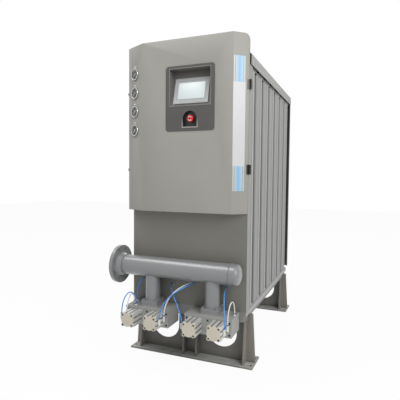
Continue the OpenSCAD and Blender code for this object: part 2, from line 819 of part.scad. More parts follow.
module valve_piston(n) {
    color(alu) translate([actuators[n - 1], 0, actuator_z]) {
        rod_y(actuator_bore / 2 - 0.1, piston_y0, piston_y0 + piston_l);
        rod_y(rod_r, piston_y0 + eps, poppet_y1 - eps);
        rod_y(poppet_r, poppet_y1 - poppet_t, poppet_y1);
    }
}
module exhaust_silencers() {
    color(dark_steel) both_sides() translate([silencer_x, 0, silencer_z]) difference() {
        rod_y(silencer_r, block_y1, block_y1 + silencer_l);
        rod_y(exhaust_r, block_y1 - eps, block_y1 + silencer_l - 10);
        for (k = [1 : 5]) translate([0, block_y1 + 8 + k * 11, 0]) rotate([90, 0, 0]) difference() {
            cylinder(r = silencer_r + 2, h = 4);
            translate([0, 0, -eps]) cylinder(r = silencer_r - 2, h = 4 + 2 * eps);
        }
    }
}
module elbow(side) {
    rod_x(fitting_r - 2, side > 0 ? 0 : -fitting_reach, side > 0 ? fitting_reach : 0);
    translate([side * fitting_reach, 0, -fitting_r - 1])
        cylinder(r = fitting_r, h = fitting_r + fitting_rise - 2);
    translate([side * fitting_reach, 0, fitting_rise - 4]) cylinder(r = fitting_r - 1.5, h = 4);
}
module push_in_fittings() {
    color(white) {
        for (i = [0 : 3]) for (y = fitting_y)
            translate([actuators[i] + fitting_side[i] * actuator_w / 2, y, actuator_z])
                elbow(fitting_side[i]);
        for (p = block_ports) translate([p.x, front_y + p.y, block_z1]) {
            cylinder(r = fitting_r + 0.5, h = 4, $fn = 6);
            cylinder(r = fitting_r - 1, h = block_port_h);
        }
        for (p = panel_ports) translate([p.x, front_y, p.y]) rotate([90, 0, 0]) {
            cylinder(r = fitting_r + 1.5, h = 4, $fn = 6);
            cylinder(r = fitting_r - 1, h = panel_port_l);
        }
    }
}

// Outlet

module outlet_manifold() {
    color(paint_light) difference() {
        union() {
            translate([0, outlet_y, outlet_z]) {
                rod_x(pipe_r, -flange_x + 1, outlet_end_x);
                translate([-flange_x + 2, 0, 0]) pipe_flange();
            }
            both_sides() translate([gallery_x, 0, top_gallery_z]) {
                rod_y(outlet_branch_r, stack_y1, outlet_y);
                xz_prism(rrect(outlet_flange_w, outlet_flange_h, 12), stack_y1, stack_y1 + outlet_flange_t);
            }
        }
        translate([0, outlet_y, outlet_z]) {
            rod_x(pipe_bore_r, -flange_x - eps, outlet_end_x - 8);
            translate([-flange_x + 2, 0, 0]) flange_bolt_holes();
        }
        both_sides() translate([gallery_x, 0, top_gallery_z]) {
            rod_y(outlet_bore_r, stack_y1 - eps, seat_y);
            rod_y(seat_r, seat_y - eps, seat_y + seat_t + eps);
            rod_y(outlet_bore_r, seat_y + seat_t, guide_y);
            rod_y(check_stem_r + pin_clear, guide_y - eps, guide_y + guide_t + eps);
            for (a = [45 : 90 : 315]) rotate([0, a, 0]) translate([guide_hole_at, 0, 0])
                rod_y(guide_hole_r, guide_y - eps, guide_y + guide_t + eps);
            rod_y(outlet_bore_r, guide_y + guide_t, outlet_y);
        }
    }
}
module check_disc(side) {
    color(beige) translate([side * gallery_x, 0, top_gallery_z]) {
        rod_y(check_r, check_y, check_y + check_t);
        rod_y(check_stem_r, check_y + eps, guide_y + guide_t + 3);
    }
}
module check_disc_left() {
    check_disc(-1);
}
module check_disc_right() {
    check_disc(1);
}

// Control gear behind the hood

module mounting_plate() {
    color(alu) {
        slab([-gear_w / 2, gear_y, gear_z0], [gear_w / 2, gear_y + gear_sheet, gear_z0 + gear_h]);
        both_sides() for (z = [20, gear_h - 20])
            translate([gear_w / 2 - 20, 0, gear_z0 + z]) rod_y(6, gear_y + gear_sheet, front_y);
        for (z = din_z) difference() {
            slab([-din_l / 2, device_y, z - din_h / 2], [din_l / 2, gear_y, z + din_h / 2]);
            slab([-din_l / 2 - eps, device_y - eps, z - din_h / 2 + 5],
                [din_l / 2 + eps, gear_y - 1, z + din_h / 2 - 5]);
        }
    }
}
module controller() {
    color(fascia_grey) {
        slab([device_x, device_y - plc_d, din_z[1] - plc_h / 2],
            [device_x + plc_w, device_y, din_z[1] + plc_h / 2]);
        slab([device_x + plc_face_in, device_y - plc_d - plc_face_d, din_z[1] - plc_h / 3],
            [device_x + plc_w - plc_face_in, device_y - plc_d, din_z[1] + plc_h / 3]);
        slab([supply_x, device_y - supply_d, din_z[1] - plc_h / 2],
            [supply_x + supply_w, device_y, din_z[1] + plc_h / 2]);
        for (k = [0 : 3]) translate([relay_x + k * relay_pitch, 0, din_z[1]])
            slab([0, device_y - supply_d, -relay_h / 2], [relay_w, device_y, relay_h / 2]);
    }
}
module terminal_blocks() {
    color(beige) translate([device_x, 0, din_z[0]]) {
        slab([0, device_y - terminal_foot, -terminal_h / 2],
            [terminal_count * terminal_pitch, device_y, terminal_h / 2]);
        for (k = [0 : terminal_count - 1]) translate([k * terminal_pitch, 0, 0])
            slab([0, device_y - terminal_d, -terminal_h / 2 + 4],
                [terminal_pitch - 1, device_y - terminal_foot, terminal_h / 2 - 4]);
    }
}
module pilot_valves() {
    color(alu) {
        slab([-pilot_count * pilot_pitch / 2 - 8, gear_y - 22, gear_z0 + 30],
            [pilot_count * pilot_pitch / 2 + 8, gear_y, gear_z0 + 70]);
        for (k = [0 : pilot_count - 1]) translate([(k - (pilot_count - 1) / 2) * pilot_pitch, 0, gear_z0]) {
            slab([-11, gear_y - 44, 34], [11, gear_y - 22, 118]);
            translate([0, gear_y - 33, 118]) cylinder(r = 7, h = 12);
        }
    }
}

// Hood

module on_left_wing(s, z) {
    translate([-fold_left, hood_front, z]) rotate([0, 0, -left_angle]) translate([-s, 0, 0])
        rotate([90, 0, 0]) children();
}
module on_right_wing(s, z) {
    translate([fold_right, hood_front, z]) rotate([0, 0, right_angle]) translate([s, 0, 0])
        rotate([90, 0, 0]) children();
}
module hood_corner(r) {
    on_right_wing(right_len - hood_corner_r, hood_z1 - hood_corner_r) difference() {
        slab([0, 0, -60], [hood_corner_r + 20, hood_corner_r + 20, 60]);
        translate([0, 0, -61]) cylinder(r = r, h = 122);
    }
}
module hood_shell() {
    difference() {
        translate([0, front_y, hood_z0]) linear_extrude(hood_h) polygon([plan_b, plan_c, plan_d, plan_e]);
        hood_corner(hood_corner_r + 0.3);
        difference() {
            translate([0, front_y, hood_z0 + hood_t])
                linear_extrude(hood_h - 2 * hood_t) polygon(hood_inside);
            hood_corner(hood_corner_r - hood_t + 0.3);
        }
    }
}
module hood() {
    color(paint) difference() {
        union() {
            hood_shell();
            slab([-hood_left, hood_back - eps, hood_z0],
                [-hood_left + hood_t, hood_back + lock_flange, hood_z1]);
        }
        slab([fascia_x - window_w / 2, hood_front - eps, window_z0],
            [fascia_x + window_w / 2, hood_front + hood_t + eps, window_z1]);
        for (k = [0 : 3]) on_left_wing(gauge_s, gauge_z0 + k * gauge_pitch)
            translate([0, 0, -hood_t - 2]) cylinder(r = gauge_case_r + slide_clear, h = hood_t + 4);
        for (z = latch_z) translate([0, lock_y, z])
            rod_x(lock_barrel_r + pin_clear, -hood_left - eps, -hood_left + hood_t + eps);
    }
}
module screen_frame() {
    translate([fascia_x + 2, hood_front + pocket_sill, pocket_z0]) rotate([-pocket_tilt, 0, 0]) children();
}
module fascia() {
    color(fascia_grey) difference() {
        union() {
            translate([fascia_x, 0, fascia_z])
                xz_prism(rrect(fascia_w, fascia_h, 8), fascia_front, hood_front);
            yz_prism([[fascia_front + eps, pocket_z0 - pocket_wall],
                [hood_front + pocket_sill + pocket_wall, pocket_z0 - pocket_wall],
                [hood_front + pocket_d + pocket_wall, pocket_z1 + pocket_wall],
                [fascia_front + eps, pocket_z1 + pocket_wall]],
                fascia_x - pocket_w / 2 - pocket_wall, fascia_x + pocket_w / 2 + pocket_wall);
        }
        yz_prism([[fascia_front - eps, pocket_z0], [hood_front + pocket_sill, pocket_z0],
            [hood_front + pocket_d, pocket_z1], [fascia_front - eps, pocket_z1]],
            fascia_x - pocket_w / 2, fascia_x + pocket_w / 2);
        screen_frame() slab([-screen_box_w / 2 - 1, -2, 15], [screen_box_w / 2 + 1, 8, 17 + screen_box_h]);
        translate([stop_x, 0, stop_bottom - slide_clear])
            xz_prism(arch(stop_w + 2 * slide_clear, stop_h + 2 * slide_clear),
                fascia_front - eps, hood_front + eps);
    }
}
module touch_panel() {
    color(alu) screen_frame() {
        translate([0, 0, 12 + screen_h / 2]) difference() {
            xz_prism(rrect(screen_w, screen_h, 6), -bezel_t, 0);
            translate([0, 0, 4]) xz_prism(rrect(screen_w - 34, screen_h - 36, 3, 2),
                -bezel_t - eps, -bezel_t + 1);
        }
        slab([-screen_box_w / 2, -1, 16], [screen_box_w / 2, screen_box_d, 16 + screen_box_h]);
    }
}
module stop_shroud() {
    color(black) translate([stop_x, 0, stop_bottom]) difference() {
        union() {
            xz_prism(arch(stop_w, stop_h), fascia_front - 1, stop_floor + stop_wall);
            translate([0, 0, -3]) xz_prism(arch(stop_w + 6, stop_h + 6), fascia_front - 1.5, fascia_front);
        }
        difference() {
            translate([0, 0, stop_wall])
                xz_prism(arch(stop_w - 2 * stop_wall, stop_h - 2 * stop_wall),
                    fascia_front - 2, stop_floor);
            translate([0, 0, stop_h - stop_w / 2])
                rod_y(stop_collar_r, stop_floor - stop_collar_h, stop_floor + eps);
        }
        translate([0, 0, stop_h - stop_w / 2])
            rod_y(stop_stem_r + pin_clear, stop_floor - stop_collar_h - eps, stop_floor + stop_wall + eps);
    }
}
module stop_button() {
    color([0.75, 0.08, 0.08]) translate([stop_x, 0, stop_bottom + stop_h - stop_w / 2]) {
        rod_y(stop_button_d / 2, stop_head_y - 6, stop_head_y);
        translate([0, stop_head_y - 6, 0]) rotate([90, 0, 0])
            cylinder(r1 = stop_button_d / 2, r2 = stop_button_d / 2 - 3, h = 3);
        rod_y(stop_stem_r, stop_head_y - eps, stop_floor + stop_wall + 3);
        rod_y(stop_stem_r + 4, stop_floor + stop_wall + 0.4, stop_floor + stop_wall + 3);
    }
}
module gauge() {
    rotate_extrude() polygon([[0, -gauge_case_l], [gauge_case_r, -gauge_case_l], [gauge_case_r, 0],
        [gauge_r, 0], [gauge_r, gauge_rim - 1.5], [gauge_r - 1.5, gauge_rim], [gauge_r - 3.5, gauge_rim],
        [gauge_r - 3.5, dial_z], [needle_shaft_r, dial_z], [needle_shaft_r, dial_z + 3], [0, dial_z + 3]]);
    translate([0, 0, -gauge_case_l - 9]) cylinder(r = 5, h = 10);
}
module gauges() {
    color(alu) for (k = [0 : 3]) on_left_wing(gauge_s, gauge_z0 + k * gauge_pitch) gauge();
}
module gauge_needle(n) {
    color(black) on_left_wing(gauge_s, gauge_z0 + (n - 1) * gauge_pitch) translate([0, 0, needle_z])
        difference() {
            union() {
                cylinder(r = needle_hub_r, h = needle_t);
                rotate([0, 0, needle_zero]) linear_extrude(needle_t)
                    polygon([[-8, -1.6], [needle_len, -0.4], [needle_len, 0.4], [-8, 1.6]]);
            }
            translate([0, 0, -eps]) cylinder(r = needle_shaft_r + pin_clear, h = needle_t + 2 * eps);
        }
}
module label_strip() {
    color(white) on_right_wing(2, 0) slab([0, label_z[0], 0], [label_w, label_z[1], label_t]);
}

// Hinges and locks

module hinge_frames() {
    color(black) for (z = latch_z) translate([hinge_x, hinge_y, z - hinge_l / 2]) {
        cylinder(d = hinge_pin_d, h = hinge_l);
        for (z0 = [0, 2 * hinge_l / 3 + knuckle_gap]) {
            translate([0, 0, z0]) cylinder(d = hinge_d, h = hinge_l / 3 - knuckle_gap);
            slab([-hinge_out, 0, z0], [-hinge_out + leaf_t, 10, z0 + hinge_l / 3 - knuckle_gap]);
        }
        slab([-hinge_out, 9, 0], [-hinge_out + leaf_t, panel_return - 1, hinge_l]);
    }
}
module hinge_leaves() {
    color(black) for (z = latch_z) difference() {
        union() {
            translate([hinge_x, hinge_y, z - hinge_l / 6 + knuckle_gap])
                cylinder(d = hinge_d, h = hinge_l / 3 - 2 * knuckle_gap);
            on_right_wing(right_len, z) {
                slab([-leaf_w - 1, -hinge_l / 2, 0], [-1, hinge_l / 2, leaf_t]);
                slab([-2, -leaf_tab / 2, 0], [3, leaf_tab / 2, leaf_t]);
            }
        }
        translate([hinge_x, hinge_y, z - hinge_l / 2])
            cylinder(r = hinge_pin_d / 2 + pin_clear, h = hinge_l);
    }
}
module hood_lock(z) {
    color(dark_steel) translate([0, lock_y, z]) {
        difference() {
            rod_x(lock_head_r, -hood_left - lock_head_t, -hood_left);
            slab([-hood_left - lock_head_t - eps, -9, -1.5], [-hood_left - lock_head_t + 3, 9, 1.5]);
        }
        rod_x(lock_barrel_r, -hood_left - 1, -tongue_x);
        rod_x(lock_barrel_r + 3, -hood_left + hood_t + slide_clear, -hood_left + hood_t + 2.5);
        slab([-tongue_x - tongue_t, -tongue_w / 2, -tongue_w / 2], [-tongue_x, tongue_l, tongue_w / 2]);
    }
}
module lock_lower() {
    hood_lock(latch_z[0]);
}
module lock_upper() {
    hood_lock(latch_z[1]);
}

// Free tubes

module tube(n) {
    route = [for (i = [0 : tube_rings]) [0, front_y, 0] + curve(tube_guides[n - 1], i / tube_rings)];
    last = len(route) - 1;
    along = [for (i = [0 : last]) unit(heading(tube_guides[n - 1], i / tube_rings))];
    rings = [for (i = [0 : last])
        let (u = unit(cross([1, 0, 0], along[i])), v = cross(along[i], u))
        for (k = [0 : tube_sides - 1])
            route[i] + tube_d / 2 * (cos(360 * k / tube_sides) * u + sin(360 * k / tube_sides) * v)];
    start_cap = [for (k = [0 : tube_sides - 1]) k];
    end_cap = [for (k = [tube_sides - 1 : -1 : 0]) last * tube_sides + k];
    walls = [for (i = [0 : last - 1]) for (k = [0 : tube_sides - 1])
        let (a = i * tube_sides + k, b = i * tube_sides + (k + 1) % tube_sides)
        each [[a, a + tube_sides, b], [b, a + tube_sides, b + tube_sides]]];
    color(tube_colours[n - 1]) polyhedron(points = rings, faces = concat([start_cap, end_cap], walls));
}

// Assembly

front_stand();
rear_stand();
bottom_manifold();
column_gaskets();
desiccant_beds();
bed_screens();
top_manifold();
front_panel();
rear_panel();
top_cover();
inlet_manifold();
valve_block_left();
valve_block_right();
actuator_bodies_left();
actuator_bodies_right();
actuator_caps();
exhaust_silencers();
push_in_fittings();
mounting_plate();
controller();
terminal_blocks();
pilot_valves();
outlet_manifold();
check_disc_left();
check_disc_right();
hinge_frames();
hood();
fascia();
touch_panel();
stop_shroud();
stop_button();
gauges();
label_strip();
hinge_leaves();
lock_lower();
lock_upper();
column_module(1);  // column_module_1
column_module(2);  // column_module_2
column_module(3);  // column_module_3
column_module(4);  // column_module_4
column_module(5);  // column_module_5
column_module(6);  // column_module_6
column_module(7);  // column_module_7
gauge_needle(1);  // gauge_needle_1
gauge_needle(2);  // gauge_needle_2
gauge_needle(3);  // gauge_needle_3
gauge_needle(4);  // gauge_needle_4
valve_piston(1);  // valve_piston_1
valve_piston(2);  // valve_piston_2
valve_piston(3);  // valve_piston_3
valve_piston(4);  // valve_piston_4
tube(1);  // tube_1
tube(2);  // tube_2
tube(3);  // tube_3
tube(4);  // tube_4
tube(5);  // tube_5
tube(6);  // tube_6
tube(7);  // tube_7
tube(8);  // tube_8
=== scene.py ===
"""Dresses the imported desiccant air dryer: tubes, shell, pipework, hood, controls and finishes."""

import math
from contextlib import contextmanager

import bmesh
import bpy
from mathutils import Matrix, Vector


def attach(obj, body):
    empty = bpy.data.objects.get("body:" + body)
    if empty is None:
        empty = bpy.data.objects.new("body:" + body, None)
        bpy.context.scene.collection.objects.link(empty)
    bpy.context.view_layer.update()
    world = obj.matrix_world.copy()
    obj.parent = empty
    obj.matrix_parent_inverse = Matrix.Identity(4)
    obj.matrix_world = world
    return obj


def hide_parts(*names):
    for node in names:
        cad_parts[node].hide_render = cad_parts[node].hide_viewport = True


bl_info = {
    "name": "Desiccant air dryer",
    "version": (1, 0, 0),
    "blender": (4, 5, 0),
    "location": "View3D > Sidebar > Dryer",
    "description": "Models and paints the visible pieces of a modular desiccant air dryer",
    "category": "Object",
}

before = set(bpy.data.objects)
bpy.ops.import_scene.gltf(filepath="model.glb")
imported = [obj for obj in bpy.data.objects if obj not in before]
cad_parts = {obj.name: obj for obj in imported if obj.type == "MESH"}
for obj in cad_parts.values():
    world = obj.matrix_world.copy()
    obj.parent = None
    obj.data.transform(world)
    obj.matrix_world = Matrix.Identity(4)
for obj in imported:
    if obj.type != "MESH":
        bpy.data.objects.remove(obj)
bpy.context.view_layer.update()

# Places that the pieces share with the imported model, in metres
PANEL_FRONT = -0.623
HOOD_FRONT = -0.688
LEFT_FOLD = Vector((-0.258, HOOD_FRONT, 0))
RIGHT_FOLD = Vector((0.281, HOOD_FRONT, 0))
LEFT_WING_TURN = math.radians(-26.38)
RIGHT_WING_TURN = math.radians(41.13)
GAUGE_OUT = 0.074
GAUGE_LOW = 1.326
GAUGE_PITCH = 0.107
STOP_X = 0.039
STOP_Z = 1.373
SCREEN_FOOT = Vector((0.039, -0.684, 1.443))
SCREEN_LEAN = math.radians(-14.17)
PIPE_Y = -0.693
PIPE_Z = 0.541
OUTLET_Y = 0.721
OUTLET_Z = 1.655
BRANCH_X = (-0.182, 0.182)
ACTUATOR_X = (-0.25, -0.114, 0.114, 0.25)
ACTUATOR_Z = 0.274
ACTUATOR_OUT = 0.068
SLOT_OUT = 0.013
SLOT_FLOOR = 0.0332
PIPE_R = 0.05715
CAP_SEAM = 0.286
BRANCH_R = 0.04125
OUTLET_BRANCH_R = 0.02415
OUTLET_BRANCH_Z = 1.676
STAND_Y = (-0.523, 0.523)
STAND_PLATE = 0.01
STAND_BASE = (0.385, 0.0825)
STAND_FOOT = 0.378
STAND_WEB = 0.255
STAND_EAR = 0.287
STAND_RIB = 0.317
WEB_FOOT = 0.382
WEB_TAPER = 0.016
EAR_IN = 0.341
ANCHOR_X = (-0.366, 0.366)
ANCHOR_Y = (-0.048, 0.048)
ANCHOR_R = 0.008
NOTCH_R = 0.09
NOTCH_Z = 0.158
RIB_X = (-0.327, -0.041, 0.041, 0.327)
RIB_FOOT = 0.065
RIB_TAPER = 0.029
PAD_X = ((-0.341, -0.296), (-0.052, 0.052), (0.296, 0.341))
PAD_HALF = 0.045
PAD_TOP = 0.265
FASCIA_FRONT = -0.69
FASCIA_X = (-0.107, 0.181)
FASCIA_Z = (1.306, 1.66)
FASCIA_CORNER = 0.017
MODULES = 7
MODULE_PITCH = 0.174
STACK_FRONT = -0.62
STACK_MIDDLE = -0.012
STACK_HALF = 0.608
COLUMN_SIDE = 0.346
PANEL_SIDE = 0.352
GROOVE_WIDER = 0.014
GAP_CLOSER = 0.0014
RAIL_LIP = 0.297
LIP_DEEP = 0.012
LIP_RAMP = 0.006
TOP_LOWER = 0.01
SKIRT_DROP = 0.004
RETURN_LONGER = 0.035
HINGE_LEAF = Vector((0.355, -0.6085, 0))
HINGE_Z = (1.097, 1.545)
MERGE = 0.00002

# Four guide points of each tube: across, out from the panel's front and up, in millimetres
TUBE_ROUTES = {
    "tube_1": ("blue", ((-299, -214, 298), (-299, -214, 430), (-262, -124, 440), (-262, -124, 332))),
    "tube_2": ("white", ((-299, -160, 298), (-299, -160, 390), (-299, -80, 410), (-299, -80, 332))),
    "tube_3": ("blue", ((-300, -44, 332), (-300, -44, 420), (-252, -90, 470), (-252, -8, 470))),
    "tube_4": ("blue", ((-65, -214, 298), (-65, -214, 440), (72, -120, 470), (72, -8, 470))),
    "tube_5": ("white", ((-65, -160, 298), (-65, -160, 440), (50, -90, 470), (50, -8, 470))),
    "tube_6": ("blue", ((-90, -8, 440), (-90, -80, 440), (65, -214, 365), (65, -214, 298))),
    "tube_7": ("blue", ((252, -8, 470), (252, -110, 470), (299, -214, 430), (299, -214, 298))),
    "tube_8": ("white", ((299, -160, 298), (299, -160, 430), (308, -70, 440), (308, -70, 332))),
}
TUBE_POINTS = 33

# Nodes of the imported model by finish
FINISHED_NODES = {
    "stand_paint": ["front_stand", "rear_stand"],
    "column_coat": ["bottom_manifold"] + [f"column_module_{i + 1}" for i in range(MODULES)],
    "shoulder_coat": ["top_manifold"],
    "gasket_rubber": ["column_gaskets"],
    "bead_bed": ["desiccant_beds"],
    "steel_zinc": ["bed_screens", "mounting_plate"] + [f"valve_piston_{i + 1}" for i in range(4)],
    "panel_sheet": ["front_panel"],
    "rear_paint": ["rear_panel"],
    "cover_paint": ["top_cover"],
    "pipe_paint": ["inlet_manifold", "outlet_manifold"],
    "block_paint": ["valve_block_left", "valve_block_right"],
    "barrel_alu": ["actuator_bodies_left", "actuator_bodies_right"],
    "cap_coat": ["actuator_caps"],
    "silencer_bronze": ["exhaust_silencers"],
    "fitting_plastic": ["push_in_fittings"],
    "device_plastic": ["controller", "terminal_blocks"],
    "device_dark": ["pilot_valves"],
    "disc_plastic": ["check_disc_left", "check_disc_right"],
    "hinge_black": ["hinge_frames", "hinge_leaves"],
    "fascia_coat": ["fascia"],
    "bezel_coat": ["touch_panel"],
    "shroud_plastic": ["stop_shroud"],
    "gauge_chrome": ["gauges"],
    "needle_white": [f"gauge_needle_{i + 1}" for i in range(4)],
    "label_film": ["label_strip"],
    "lock_steel": ["lock_lower", "lock_upper"],
}
NODE_FINISHES = {node: finish for finish, nodes in FINISHED_NODES.items() for node in nodes}


def colour_property(name, description, default):
    """A colour as it is read off a paint card, in display values."""
    return bpy.props.FloatVectorProperty(
        name=name, description=description, default=default, subtype="COLOR_GAMMA", size=3, min=0, max=1)


def length_property(name, description, default):
    """A length in metres."""
    return bpy.props.FloatProperty(name=name, description=description, default=default, unit="LENGTH")


class DryerSizes(bpy.types.PropertyGroup):
    """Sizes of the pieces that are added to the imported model."""

    hood_bend: length_property("Hood bend", "Rounding of the hood's two folds", 0.004)
    hood_clear: length_property("Hood clearance", "Gap that the hood leaves to what sits on it", 0.00006)
    tube_diameter: length_property("Tube", "Outer diameter of the control tubes", 0.006)
    weld_radius: length_property("Weld", "Half the width of a weld bead", 0.0035)
    collar_length: length_property("Collar", "How far a release collar stands out of its fitting", 0.004)
    lens_radius: length_property("Lens", "Radius of a gauge lens", 0.0295)
    screw_radius: length_property("Screw", "Radius of a socket screw's head", 0.005)


class DryerColours(bpy.types.PropertyGroup):
    """Colours of the finishes."""

    hood: colour_property("Hood", "Warm grey of the hood", (0.61, 0.606, 0.58))
    panel: colour_property("Panel", "Darker grey of the panel behind the hood", (0.47, 0.465, 0.44))
    cover: colour_property("Cover", "Grey of the top cover and rear panel", (0.63, 0.635, 0.62))
    column: colour_property("Columns", "Grey of the columns", (0.562, 0.564, 0.557))
    stand: colour_property("Stands", "Dark grey of the stands", (0.392, 0.392, 0.379))
    rear: colour_property("Rear panel", "Dark grey of the rear panel", (0.4, 0.4, 0.393))
    pipe: colour_property("Pipes", "Cool grey of the pipework", (0.49, 0.495, 0.5))
    block: colour_property("Valve blocks", "Grey of the valve blocks", (0.61, 0.612, 0.6))
    cap: colour_property("Actuator caps", "Pale coat of the actuator caps", (0.8, 0.775, 0.715))
    fascia: colour_property("Fascia", "Dark grey of the control fascia", (0.315, 0.31, 0.3))
    screen: colour_property("Screen", "Pale lit face of the screen", (0.83, 0.865, 0.865))
    tube_blue: colour_property("Blue tube", "Colour of the blue tubes", (0.25, 0.55, 0.86))
    tube_white: colour_property("White tube", "Colour of the natural tubes", (0.88, 0.88, 0.86))
    label_blue: colour_property("Label band", "Pale blue of the label's bands", (0.5, 0.71, 0.87))
    button: colour_property("Stop button", "Red of the stop button", (0.76, 0.09, 0.08))


def sizes():
    return bpy.context.scene.dryer_sizes


def colours():
    return bpy.context.scene.dryer_colours


def linear(display, gain=1.0):
    """Display colour to the linear values that a shader takes."""
    values = [c / 12.92 if c <= 0.04045 else ((c + 0.055) / 1.055) ** 2.4 for c in display]
    return tuple(min(1.0, v * gain) for v in values) + (1.0,)


class Value:
    """A shader socket that takes part in sums, so that a mask reads as an expression."""

    def __init__(self, finish, socket):
        self.finish = finish
        self.socket = socket

    def math(self, operation, *others):
        links = {i: v for i, v in enumerate((self,) + others)}
        return self.finish.node("ShaderNodeMath", {"operation": operation}, links)

    def turned_math(self, operation, other):
        return self.finish.node("ShaderNodeMath", {"operation": operation}, {0: other, 1: self})

    def __add__(self, other):
        return self.math("ADD", other)

    __radd__ = __add__

    def __sub__(self, other):
        return self.math("SUBTRACT", other)

    def __rsub__(self, other):
        return self.turned_math("SUBTRACT", other)

    def __mul__(self, other):
        return self.math("MULTIPLY", other)

    __rmul__ = __mul__

    def __truediv__(self, other):
        return self.math("DIVIDE", other)

    def __gt__(self, other):
        return self.math("GREATER_THAN", other)

    def __lt__(self, other):
        return self.math("LESS_THAN", other)

    def __mod__(self, other):
        return self.math("FLOORED_MODULO", other)

    def __abs__(self):
        return self.math("ABSOLUTE")

    def between(self, low, high):
        return (self > low) * (self < high)

    def root(self):
        return self.math("SQRT")

    def clipped(self):
        return self.math("MAXIMUM", 0.0).math("MINIMUM", 1.0)


class Nodes:
    """A node tree whose nodes are made and fed by name."""

    def __init__(self, tree):
        self.tree = tree

    def feed(self, node, sockets):
        for key, value in sockets.items():
            if isinstance(value, Value):
                self.tree.links.new(value.socket, node.inputs[key])
            else:
                node.inputs[key].default_value = value

    def node(self, kind, node_settings, sockets, output=0):
        made = self.tree.nodes.new(kind)
        for key, value in node_settings.items():
            setattr(made, key, value)
        self.feed(made, sockets)
        return Value(self, made.outputs[output])

    def seen_rays(self):
        """One for camera, glossy and transmission rays, nought for others."""
        path = self.node("ShaderNodeLightPath", {}, {}).socket.node
        names = ("Is Camera Ray", "Is Glossy Ray", "Is Transmission Ray")
        camera, glossy, through = (Value(self, path.outputs[name]) for name in names)
        return (camera + glossy + through).clipped()


class Finish(Nodes):
    """A material built from nodes on a piece's own coordinates."""

    def __init__(self, name, roughness=0.5, metallic=0.0, **settings):
        self.material = bpy.data.materials.new(name)
        self.material.use_nodes = True
        super().__init__(self.material.node_tree)
        self.shader = self.tree.nodes["Principled BSDF"]
        self.feed(self.shader, {"Roughness": roughness, "Metallic": metallic})
        self.feed(self.shader, {k.replace("_", " "): v for k, v in settings.items()})
        self.where = self.node("ShaderNodeTexCoord", {}, {}, "Object")
        split = self.node("ShaderNodeSeparateXYZ", {}, {0: self.where}, "X").socket.node
        self.x, self.y, self.z = (Value(self, split.outputs[i]) for i in range(3))

    def along(self, fold, turn):
        """Distance along a wing of the hood from its fold."""
        return (self.x - fold.x) * math.cos(turn) + (self.y - fold.y) * math.sin(turn)

    def noise(self, scale, detail=3.0, stretch=(1, 1, 1)):
        """Soft random values about a half, drawn out along an axis where stretch is small."""
        spread = self.node("ShaderNodeVectorMath", {"operation": "MULTIPLY"}, {0: self.where, 1: stretch})
        return self.node("ShaderNodeTexNoise", {}, {"Vector": spread, "Scale": scale, "Detail": detail})

    def mix(self, mask, first, second):
        return self.node("ShaderNodeMix", {"data_type": "RGBA"}, {0: mask, 6: first, 7: second}, 2)

    def bump(self, height, strength, distance):
        sockets = {"Height": height, "Strength": strength, "Distance": distance}
        normal = self.node("ShaderNodeBump", {}, sockets)
        self.feed(self.shader, {"Normal": normal})

    def surface(self, colour=None, roughness=None):
        if colour is not None:
            self.feed(self.shader, {"Base Color": colour})
        if roughness is not None:
            self.feed(self.shader, {"Roughness": roughness})
        return self.material


def painted(name, display, roughness, peel=700.0, wander=0.16, dress=None, **settings):
    """Powder coat: slow drift of tone and fine peel, under the tones that dress adds."""
    finish = Finish(name, roughness, **settings)
    drift = finish.noise(2.2, 3.0)
    tone = finish.mix(drift, linear(display, 0.9), linear(display, 1.1))
    if dress:
        tone = dress(finish, tone, drift)
    finish.bump(finish.noise(peel, 2.0), 0.12, 0.0006)
    return finish.surface(tone, roughness + (drift - 0.5) * wander)


def stand_dust_and_light(finish, tone, drift):
    """Dust low down on the stands, with painted light: the tops of their base plates and their outer ribs
    are lightened where light falls on them.
    """
    low = (1 - finish.z / 0.25).clipped() * finish.noise(30.0) * 0.35
    # painted light: the upward tops of the base plates are lightened
    plate = finish.z.between(STAND_PLATE - 0.0003, STAND_PLATE + 0.0003)
    # painted light: the outer ribs are lightened where light falls on them
    rib = (abs(finish.x) > STAND_RIB) * 0.5
    dust_and_lit_tone = linear((0.6, 0.58, 0.54))
    tone = finish.mix(low, tone, dust_and_lit_tone)
    tone = finish.mix(rib, tone, dust_and_lit_tone)
    return finish.mix(plate * (finish.noise(18.0) * 0.4 + 0.6), tone, linear((0.74, 0.74, 0.73)))


def lit_side_folds(finish, tone, drift):
    """Painted light: the front panel's side folds take the columns' lighter grey where light falls on them,
    while its front keeps the panel's darker grey.
    """
    side = finish.mix(drift, linear(colours().cover, 0.76), linear(colours().cover, 0.94))
    # painted light on the panel's side folds
    return finish.mix(abs(finish.x) > PANEL_SIDE - 0.0005, tone, side)


def column_coat(name, shade=0.4, depth=0.42):
    """Lacquered extrusion with faint die lines, a painted highlight on its ridges, painted shade in its
    grooves, and a tone that grows darker towards the bottom.
    """
    finish = Finish(name, 0.42)
    lines = finish.noise(260.0, 2.0, (1, 1, 0.004))
    drift = finish.noise(1.6, 2.0)
    base = colours().column
    tone = finish.mix((drift + lines) * 0.5, linear(base, 0.88), linear(base, 1.1))
    low = (1 - finish.z / 1.7).clipped() * 0.25
    between = abs(finish.y - STACK_MIDDLE) < STACK_HALF - 0.001
    # painted shade on the faces of the grooves between the modules
    groove_shade = ((COLUMN_SIDE - 0.0005 - abs(finish.x)) / 0.006).clipped() * between * depth
    # painted highlight along the ridges
    ridge_highlight = ((abs(finish.x) - COLUMN_SIDE - 0.0005) / 0.002).clipped()
    tone = finish.mix(low, tone, linear(base, 0.55))
    tone = finish.mix(ridge_highlight, tone, linear(base, 1.26))
    tone = finish.mix(groove_shade, tone, linear(base, shade))
    finish.bump(lines, 0.1, 0.0006)
    return finish.surface(tone, 0.4 + (lines - 0.5) * 0.2)


